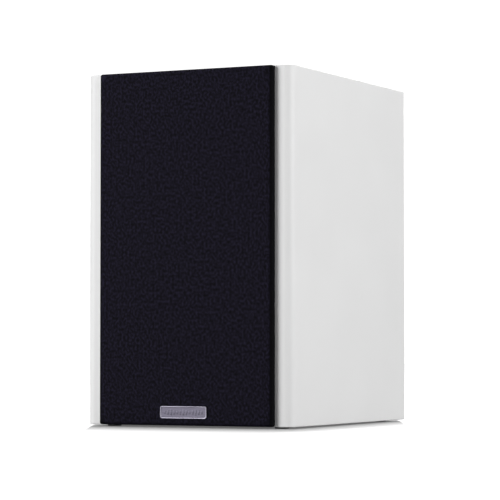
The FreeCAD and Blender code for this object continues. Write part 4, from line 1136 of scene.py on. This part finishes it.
@dataclass(frozen=True)
class Screws:
    """A set of pan-head screws with a hexagon socket, standing where the CAD's screws stand."""

    node: str
    body: Body
    axis: Axis
    head: float
    head_thick: float
    shank: float
    socket: float
    steps: int = 24
    tip: float = 3.5
    turn_step: float = 0.7

    def build(self, nodes: dict[str, bpy.types.Object]) -> None:
        """Sets the screws out over the CAD's own.

        Args:
            nodes: the CAD nodes by name.
        """
        boxes = solid_boxes(nodes[self.node])
        forward = self.axis is Axis.FORWARD
        spots = [Vector(((low.x + high.x) / 2, low.y if forward else high.y, (low.z + high.z) / 2))
                 for low, high in boxes]
        length = (boxes[0][1].y - boxes[0][0].y) / MM
        turns = [self.turn_step * number for number in range(len(spots))]
        made = set_out(self.node + "_heads", self.pattern(length), spots, turns, "screw")
        settle(made, self.body, "black_screw", self.node)

    def pattern(self, length: float) -> bpy.types.Object:
        """Makes one screw, with the top of its head at the origin."""
        steps = self.steps

        def circle(radius: float) -> list[Point]:
            """One round section, in metres."""
            return arc((0, 0), radius * MM, 0, 360 - 360 / steps, steps - 1)

        def hexagon(radius: float) -> list[Point]:
            """One six-sided section of the socket, with as many points as a round one."""
            loop = []
            for step in range(steps):
                angle = 2 * math.pi * step / steps
                fold = (angle + math.pi / 6) % (math.pi / 3) - math.pi / 6
                reach = radius * MM * math.cos(math.pi / 6) / math.cos(fold)
                loop.append((reach * math.cos(angle), reach * math.sin(angle)))
            return loop

        thick = self.head_thick
        levels = [(circle(0.15), -length), (circle(self.shank), self.tip - length),
                  (circle(self.shank), -thick), (circle(self.head), -thick),
                  (circle(self.head), -thick * 0.55),
                  (circle(self.head * 0.93), -thick * 0.22), (circle(self.head * 0.78), -thick * 0.05),
                  (circle(self.head * 0.6), 0.0), (hexagon(self.socket * 1.08), 0.0),
                  (hexagon(self.socket), -0.08), (hexagon(self.socket), -thick * 0.55)]
        return stack("screw", [(loop, level * MM) for loop, level in levels], ("screw",),
                     frame_matrix(self.axis, (0, 0, 0)))


@dataclass
class Woofer:
    """The bass unit: pressed paper cone on a butyl half-roll, dust cap, corrugated spider, leads.

    Sizes are in millimetres from the baffle's face, outwards.
    """

    roll: float = 53.0
    neck: float = 12.8
    edge: float = 45.3
    edge_level: float = -2.2
    neck_level: float = -27.4
    wall: float = 0.85
    ribs: tuple[float, ...] = (22.0, 29.0, 36.0)
    rib_rise: float = 0.45
    rib_width: float = 0.9

    def build(self, nodes: dict[str, bpy.types.Object]) -> None:
        """Makes the soft and pressed parts; the castings and steel keep their CAD shapes.

        Args:
            nodes: the CAD nodes by name.
        """
        centre = centre_of("woofer_basket")
        place = frame_matrix(Axis.FORWARD, (centre.x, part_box("front_baffle")[0].y, centre.z))
        settle(lathe("woofer_paper_cone", self.cone(), ("paper",), place), Body.CONE, "cone_paper",
               "woofer_cone")
        cap = [(0.0, -17.5)] + arc_between((17.2, -23.9), (0.0, -17.5), 26.31)[::-1] + [(17.2, -23.9)]
        under = [(16.6, -24.3)] + arc_between((16.6, -24.3), (0.0, -18.0), 25.02) + [(0.0, -18.0)]
        settle(lathe("woofer_pressed_cap", (cap + under)[::-1], ("paper",), place), Body.CONE,
               "cone_paper", "woofer_dust_cap")
        surround = lathe("woofer_half_roll", self.surround(), ("butyl",), place, 160)
        flex_ring(surround, "woofer_surround", Body.CONE)
        spider = lathe("woofer_corrugated_spider", self.spider(), ("spider",), place, 96, 60)
        flex_ring(spider, "woofer_spider", Body.CONE)
        self.leads(nodes)

    def cone(self) -> list[Point]:
        """Returns the cone's wall: straight, with three shallow pressed rings."""
        front = [(48.8, self.edge_level), (self.edge, self.edge_level)]
        back = [(self.neck, -28.6)]
        for number in range(1, 40):
            radius = self.edge + (self.neck - self.edge) * number / 40
            level = self.edge_level + (self.neck_level - self.edge_level) * number / 40
            press = sum(self.rib_rise * math.exp(-((radius - rib) / self.rib_width) ** 2)
                        for rib in self.ribs)
            front.append((radius, level + press))
            back.insert(1, (radius + 0.3, level - self.wall + press))
        return [(48.8, -3.0)] + front + [(self.neck, self.neck_level)] + back + [(45.6, -3.0)]

    def surround(self) -> list[Point]:
        """Returns the half-roll with its two glued edges."""
        under = arc_between((self.roll - 4.126, -2.2), (self.roll + 4.126, -2.2), -4.25, 20)
        over = arc_between((self.roll + 4.5, -1.7), (self.roll - 4.5, -1.7), 4.75, 20)
        return ([(45.5, -2.2), (self.roll - 4.126, -2.2)] + under + [(self.roll + 4.126, -2.2), (63.2, -2.2),
                (63.2, -1.7), (self.roll + 4.5, -1.7)] + over + [(self.roll - 4.5, -1.7), (45.5, -1.7)])

    def spider(self) -> list[Point]:
        """Returns the corrugated disc, half a millimetre thick."""
        lower = [(self.neck, -35.0), (14.0, -35.0)]
        for step in range(101):
            radius = 15.5 + 25 * step / 100
            lower.append((radius, -35 + 1.1 * math.cos(math.pi * (radius - 15.5) / 2.5)))
        lower += [(42.0, -35.0), (49.5, -35.0)]
        return lower + [(radius, level + 0.5) for radius, level in reversed(lower)]

    def leads(self, nodes: dict[str, bpy.types.Object]) -> None:
        """Copies the two braided leads, which run between the terminal strip and the moving cone, and bakes
        them in place.
        """
        leads = merged_copy("woofer_braided_leads", nodes["woofer_tinsel_leads"], ("braid",))
        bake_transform(leads)
        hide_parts("woofer_tinsel_leads")


@dataclass
class Tweeter:
    """The treble unit's soft parts: a coated silk dome on a rolled silk edge."""

    radius: float = 12.6

    def build(self) -> None:
        """Makes the dome and its edge."""
        centre = centre_of("tweeter_faceplate")
        place = frame_matrix(Axis.FORWARD, (centre.x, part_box("front_baffle")[0].y, centre.z))
        over = [(self.radius, -4.1)] + arc_between((self.radius, -4.1), (0.0, 1.2), 17.63) + [(0.0, 1.2)]
        inner = self.radius - 0.4
        under = [(0.0, 0.85)] + arc_between((inner, -4.4), (0.0, 0.85), 16.8)[::-1] + [(inner, -4.4)]
        settle(lathe("tweeter_silk_dome", over + under, ("silk",), place), Body.DOME, "silk_dome",
               "tweeter_dome")
        inner = self.radius + 0.05
        outer = inner + 4.2
        edge = [(inner, -4.4), (inner + 0.35, -4.4)]
        edge += arc_between((inner + 0.35, -4.4), (outer - 0.35, -4.4), -2.0)
        edge += [(outer - 0.35, -4.4), (outer + 2.6, -4.4), (outer + 2.6, -4.05), (outer, -4.05)]
        edge += arc_between((outer, -4.05), (inner, -4.05), 2.25) + [(inner, -4.05)]
        roll = lathe("tweeter_silk_roll", edge, ("silk",), place)
        flex_ring(roll, "tweeter_surround", Body.DOME)


@dataclass(frozen=True)
class Knob:
    """One binding-post knob: a smooth end ring over a barrel of moulded grip ribs."""

    colour: str
    body: Body
    rim: float = 7.5
    barrel: float = 6.95
    ribs: int = 20
    rib_half: tuple[float, float] = (0.55, 0.5)

    def build(self) -> None:
        """Makes the barrel and its ribs as one piece."""
        node = self.colour + "_knob"
        low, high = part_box(node)
        end = high.y
        length = (high.y - low.y) / MM
        centre = Vector(((low.x + high.x) / 2, end, (low.z + high.z) / 2))
        rim, barrel = self.rim, self.barrel
        outline = [(3.6, -length), (barrel - 0.4, -length), (barrel, -length + 0.4), (barrel, -2.6),
                   (rim - 0.2, -2.3), (rim, -2.1)]
        outline += arc((rim - 1.0, -1.0), 1.0, 0, 90, 6)
        outline += [(3.3, 0.0), (2.9, -0.3), (2.3, -1.0), (2.3, -2.0), (3.6, -2.0)]
        base = lathe("barrel", outline, (self.colour,), frame_matrix(Axis.BACKWARD, centre), 64)
        deep, wide = (size * MM for size in self.rib_half)
        reach = rim * MM - deep
        levels = []
        for level, share in ((0.5, 0.5), (1.0, 1.0), (length - 2.8, 1.0), (length - 2.4, 0.8)):
            loop = rounded_loop(deep * share, wide * share, 0.3 * MM * share, 3)
            levels.append(([(x + reach, y) for x, y in loop], (level - length) * MM))
        rib = stack("rib", levels, (self.colour,), frame_matrix(Axis.BACKWARD, (0, 0, 0)))
        turns = [2 * math.pi * number / self.ribs for number in range(self.ribs)]
        made = set_out(self.colour + "_knob_ribbed", rib, [centre] * self.ribs, turns, self.colour, base)
        settle(made, self.body, self.colour + "_plastic", node)


@dataclass(frozen=True)
class Wadding:
    """Two loose pads of polyester fibre, one against each side wall."""

    node: str = "side_wadding"
    across: int = 44
    tall: int = 50
    soft_edge: float = 14 * MM
    fill: float = 0.4

    def build(self, nodes: dict[str, bpy.types.Object]) -> None:
        """Makes the pads: flat on the wall, lofty and uneven on their free faces, thin at their edges.

        Args:
            nodes: the CAD nodes by name.
        """
        bm = bmesh.new()
        for low, high in solid_boxes(nodes[self.node]):
            inward = -math.copysign(1, low.x + high.x)
            wall = low.x if inward > 0 else high.x
            for reach in (0.0, inward * (high.x - low.x)):
                self.face(bm, low, high, wall, reach)
        bmesh.ops.remove_doubles(bm, verts=bm.verts, dist=1e-6)
        bmesh.ops.recalc_face_normals(bm, faces=bm.faces)
        pads = make_object("side_wadding_pads", bm, ("wool",), None, 80)
        settle(pads, Body.CABINET, "wadding", self.node)

    def face(self, bm: bmesh.types.BMesh, low: Vector, high: Vector, wall: float, reach: float) -> None:
        """Adds one face of a pad as an even grid.

        Args:
            bm: the mesh to add to.
            low: the CAD pad's lowest corner.
            high: its highest corner.
            wall: x of the wall that the pad lies on.
            reach: how far the face stands from the wall at its thickest, with its sign.
        """
        rows = []
        for row in range(self.tall + 1):
            z = low.z + (high.z - low.z) * row / self.tall
            line = []
            for column in range(self.across + 1):
                y = low.y + (high.y - low.y) * column / self.across
                edge = min(y - low.y, high.y - y, z - low.z, high.z - z) / self.soft_edge
                rise = math.sin(math.pi / 2 * min(1.0, max(0.0, edge))) ** 0.6
                lump = (0.84 + 0.1 * noise(Vector((wall * 9, y * 22, z * 22)))
                        + 0.05 * noise(Vector((wall, y * 90, z * 90))))
                line.append(bm.verts.new((wall + reach * rise * lump, y, z)))
            rows.append(line)
        bridge(bm, rows, False)


@dataclass(frozen=True)
class Fittings:
    """Small soft or wired parts that copy a CAD shape with softer edges or more than one colour."""

    gaskets: tuple[str, ...] = ("woofer_gasket", "tweeter_gasket", "terminal_cup_gasket")
    wires: tuple[str, ...] = ("input_leads", "woofer_leads", "tweeter_leads")

    def build(self, nodes: dict[str, bpy.types.Object]) -> None:
        """Makes the foam gaskets, the lead pairs and the rubber grille sockets.

        Args:
            nodes: the CAD nodes by name.
        """
        for name in self.gaskets:
            foam = soften(merged_copy(name + "_foam", nodes[name], ("foam",)), 0.15 * MM)
            settle(foam, Body.CABINET, "gasket_foam", name)
        for name in self.wires:
            pair = merged_copy(name + "_pair", nodes[name], ("pvc_black", "pvc"))
            settle(pair, Body.CABINET, "wire_insulation", name)
        sockets = soften(merged_copy("grille_socket_cups", nodes["grille_sockets"], ("butyl",)), 0.3 * MM)
        settle(sockets, Body.CABINET, "socket_rubber", "grille_sockets")
        trim = soften(merged_copy("woofer_rubber_trim", nodes["woofer_trim_ring"], ("butyl",)), 0.2 * MM)
        settle(trim, Body.CABINET, "surround_rubber", "woofer_trim_ring")


# ------------------------------------------------------------------ studio


@dataclass(frozen=True)
class SoftBox:
    """One studio light: where it stands round the object, its size and its power."""

    name: str
    azimuth_deg: float
    elevation_deg: float
    distance: float
    size: Point
    power: float

    def light(self, target: Vector) -> None:
        """Hangs the light and aims it at the object.

        Args:
            target: the point that it faces.
        """
        turn, rise = math.radians(self.azimuth_deg), math.radians(self.elevation_deg)
        way = Vector((math.sin(turn) * math.cos(rise), -math.cos(turn) * math.cos(rise), math.sin(rise)))
        data = bpy.data.lights.new(self.name, "AREA")
        data.shape = "RECTANGLE"
        data.size, data.size_y = self.size
        data.energy = self.power
        lamp = bpy.data.objects.new(self.name, data)
        lamp.location = target + way * self.distance
        lamp.rotation_mode = "QUATERNION"
        lamp.rotation_quaternion = way.to_track_quat("Z", "Y")
        bpy.context.scene.collection.objects.link(lamp)


@dataclass(frozen=True)
class Studio:
    """A white sweep, soft lights and a long-lens camera near the floor."""

    turn_deg: float = 26.17
    lens_mm: float = 170.4
    sensor_mm: float = 36.0
    distance: float = 1.980
    sideways: float = 0.0352
    rise: float = 0.0686
    pitch_rad: float = 0.0403
    ambient: float = 0.045
    # painted shadow on the floor: its camera-only glow by distance from the footprint, dim next to it and
    # white far off
    shadow_glow_stops: tuple[Point, ...] = ((0.0, 0.13), (0.03, 0.16), (0.12, 0.38), (0.2, 0.64), (0.3, 0.84),
                                     (0.4, 0.95), (1.0, 1.1))
    boxes: tuple[SoftBox, ...] = (
        SoftBox("key_left", -40, 9, 3.4, (1.8, 2.4), 136.0),
        SoftBox("side_right", 83, 20, 2.4, (1.3, 1.8), 50.0),
        SoftBox("top", 180, 72, 1.8, (1.4, 1.4), 17.0),
        SoftBox("back", 205, 25, 2.0, (1.6, 1.4), 26.0),
    )

    def build(self) -> None:
        """Makes the world, the floor, the lights and the camera."""
        self.world()
        self.floor()
        low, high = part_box("front_baffle")
        target = Vector((0.0, 0.0, (low.z + high.z) / 2))
        for box in self.boxes:
            box.light(target)
        self.camera(Vector((high.x, low.y, low.z)))

    def world(self) -> None:
        """Fills the room with even light; the sweep behind the object is pure white."""
        scene = bpy.context.scene
        scene.view_settings.view_transform = "Standard"
        world = bpy.data.worlds.new("white_sweep")
        scene.world = world
        world.use_nodes = True
        tree = world.node_tree
        tree.nodes.clear()
        room = add_node(tree, "ShaderNodeBackground", {}, {"Color": (1, 1, 1, 1), "Strength": self.ambient})
        sweep = add_node(tree, "ShaderNodeBackground", {}, {"Color": (1, 1, 1, 1), "Strength": 1.15})
        path = add_node(tree, "ShaderNodeLightPath", {}, {})
        mix = add_node(tree, "ShaderNodeMixShader", {}, {
            0: path.outputs["Is Camera Ray"], 1: room.outputs[0], 2: sweep.outputs[0],
        })
        add_node(tree, "ShaderNodeOutputWorld", {}, {"Surface": mix.outputs[0]})

    def floor(self) -> None:
        """Lays the pale floor, with a painted contact shadow round the object."""
        bm = bmesh.new()
        bmesh.ops.create_grid(bm, x_segments=1, y_segments=1, size=6.0)
        mesh = bpy.data.meshes.new("floor")
        bm.to_mesh(mesh)
        bm.free()
        material = bpy.data.materials.new("floor_white_paper_sweep")
        material.use_nodes = True
        shader = material.node_tree.nodes["Principled BSDF"]
        shader.inputs["Roughness"].default_value = 0.9
        shader.inputs["Specular IOR Level"].default_value = 0.0
        shader.inputs["Emission Color"].default_value = (1, 1, 1, 1)
        self.paint_floor_shadow(material.node_tree, shader)
        mesh.materials.append(material)
        floor = bpy.data.objects.new("floor", mesh)
        bpy.context.scene.collection.objects.link(floor)

    def paint_floor_shadow(self, tree: bpy.types.NodeTree, shader: bpy.types.Node) -> None:
        """Paints a soft contact shadow on the floor: a glow seen by the camera alone, dim near the object's
        footprint and rising into the white sweep away from it, cut off at the object's two sides as seen
        along the camera's turn.
        """
        low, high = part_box("front_baffle")
        half_y = (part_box("rear_panel")[1].y - low.y) / 2
        place = add_node(tree, "ShaderNodeTexCoord", {}, {}).outputs["Object"]
        folded = add_node(tree, "ShaderNodeVectorMath", {"operation": "ABSOLUTE"}, {0: place})
        beyond = add_node(tree, "ShaderNodeVectorMath", {"operation": "SUBTRACT"}, {
            0: folded.outputs[0], 1: (high.x, half_y, 0.0),
        })
        outside = add_node(tree, "ShaderNodeVectorMath", {"operation": "MAXIMUM"}, {
            0: beyond.outputs[0], 1: (0.0, 0.0, 0.0),
        })
        uneven = add_node(tree, "ShaderNodeVectorMath", {"operation": "MULTIPLY"}, {
            0: outside.outputs[0], 1: (2.0, 1.0, 1.0),
        })
        reach = add_node(tree, "ShaderNodeVectorMath", {"operation": "LENGTH"}, {0: uneven.outputs[0]})
        # the painted shadow is cut off at the object's two sides as seen along the camera's turn
        turn = math.radians(self.turn_deg)
        across = add_node(tree, "ShaderNodeVectorMath", {"operation": "DOT_PRODUCT"}, {
            0: place, 1: (math.cos(turn), math.sin(turn), 0.0),
        })
        aside = add_node(tree, "ShaderNodeMath", {"operation": "ABSOLUTE"}, {0: across.outputs["Value"]})
        edge = high.x * math.cos(turn) + half_y * math.sin(turn)
        clear = add_node(tree, "ShaderNodeMapRange", {}, {
            "Value": aside.outputs[0], "From Min": edge - 6 * MM, "From Max": edge + 3 * MM,
            "To Min": 0.0, "To Max": 1.0,
        })
        share = add_node(tree, "ShaderNodeMath", {"operation": "MULTIPLY_ADD"}, {
            0: reach.outputs["Value"], 1: 2.5, 2: clear.outputs["Result"],
        })
        # painted contact shadow: the glow is dim near the footprint
        shadow_glow = ramp(tree, share.outputs[0], [(stop, (tone, tone, tone, 1)) for stop, tone in self.shadow_glow_stops])
        path = add_node(tree, "ShaderNodeLightPath", {}, {})
        seen = add_node(tree, "ShaderNodeMath", {"operation": "MULTIPLY"}, {
            0: shadow_glow, 1: path.outputs["Is Camera Ray"],
        })
        tree.links.new(seen.outputs[0], shader.inputs["Emission Strength"])
        # the camera sees a lighter floor than the one that throws light back onto the object
        tone = ramp(tree, path.outputs["Is Camera Ray"],
                    ((0.0, (0.3, 0.3, 0.3, 1)), (1.0, (0.4, 0.4, 0.4, 1))))
        tree.links.new(tone, shader.inputs["Base Color"])

    def camera(self, corner: Vector) -> None:
        """Places the camera.

        Args:
            corner: the box's lower right front corner, before rounding.
        """
        turn = math.radians(self.turn_deg)
        ahead = Vector((-math.sin(turn), math.cos(turn), 0))
        right = Vector((math.cos(turn), math.sin(turn), 0))
        up = Vector((0, 0, 1))
        data = bpy.data.cameras.new("portrait")
        data.lens = self.lens_mm
        data.sensor_width = self.sensor_mm
        data.clip_end = 50
        camera = bpy.data.objects.new("portrait", data)
        camera.location = corner - ahead * self.distance - right * self.sideways + up * self.rise
        look = ahead * math.cos(self.pitch_rad) + up * math.sin(self.pitch_rad)
        camera.rotation_mode = "QUATERNION"
        camera.rotation_quaternion = look.to_track_quat("-Z", "Y")
        bpy.context.scene.collection.objects.link(camera)
        bpy.context.scene.camera = camera


def dress_nodes(nodes: dict[str, bpy.types.Object], plan: dict[str, Sequence[str]]) -> None:
    """Gives CAD nodes that keep their shape a better material.

    Args:
        nodes: the CAD nodes by name.
        plan: keys of FINISHES, each with the nodes that take it.
    """
    for key, names in plan.items():
        for name in names:
            mesh = nodes[name].data
            mesh.materials.clear()
            mesh.materials.append(finish(key))


PLAN: dict[str, Sequence[str]] = {
    "alloy": ("woofer_basket",),
    "former": ("woofer_coil_former",),
    "copper": ("woofer_voice_coil", "tweeter_voice_coil", "woofer_inductor", "tweeter_inductor"),
    "zinc": ("woofer_top_plate", "woofer_yoke", "tweeter_top_plate", "tweeter_yoke"),
    "ferrite": ("woofer_magnet", "tweeter_magnet"),
    "phenolic": ("woofer_terminal_strip",),
    "brass": ("driver_tabs", "solder_tags"),
    "plastic": ("tweeter_faceplate", "tweeter_rear_cup", "port_tube", "terminal_cup"),
    "gold": ("red_post", "black_post", "post_nuts"),
    "red": ("red_washer",),
    "black": ("black_washer",),
    "board": ("crossover_board",),
    "nylon": ("board_pillars",),
    "film": ("capacitors",),
    "cement": ("crossover_resistor",),
}


SCREWS = (
    Screws("driver_screws", Body.CABINET, Axis.FORWARD, head=3.3, head_thick=1.8, shank=1.7, socket=1.3),
    Screws("terminal_screws", Body.CABINET, Axis.BACKWARD, head=3.0, head_thick=1.6, shank=1.5, socket=1.2),
)


def main() -> None:
    """Builds the studio and every sub-assembly, in order."""
    logging.basicConfig(level=logging.INFO, format="%(name)s: %(message)s")
    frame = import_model()
    nodes = frame["nodes"]
    Studio().build()
    Cabinet().build()
    Grille().build(nodes)
    Woofer().build(nodes)
    Tweeter().build()
    for screws in SCREWS:
        screws.build(nodes)
    for knob in (Knob("red", Body.RED_KNOB), Knob("black", Body.BLACK_KNOB)):
        knob.build()
    Wadding().build(nodes)
    Fittings().build(nodes)
    dress_nodes(nodes, PLAN)


if __name__ == "__main__":
    main()
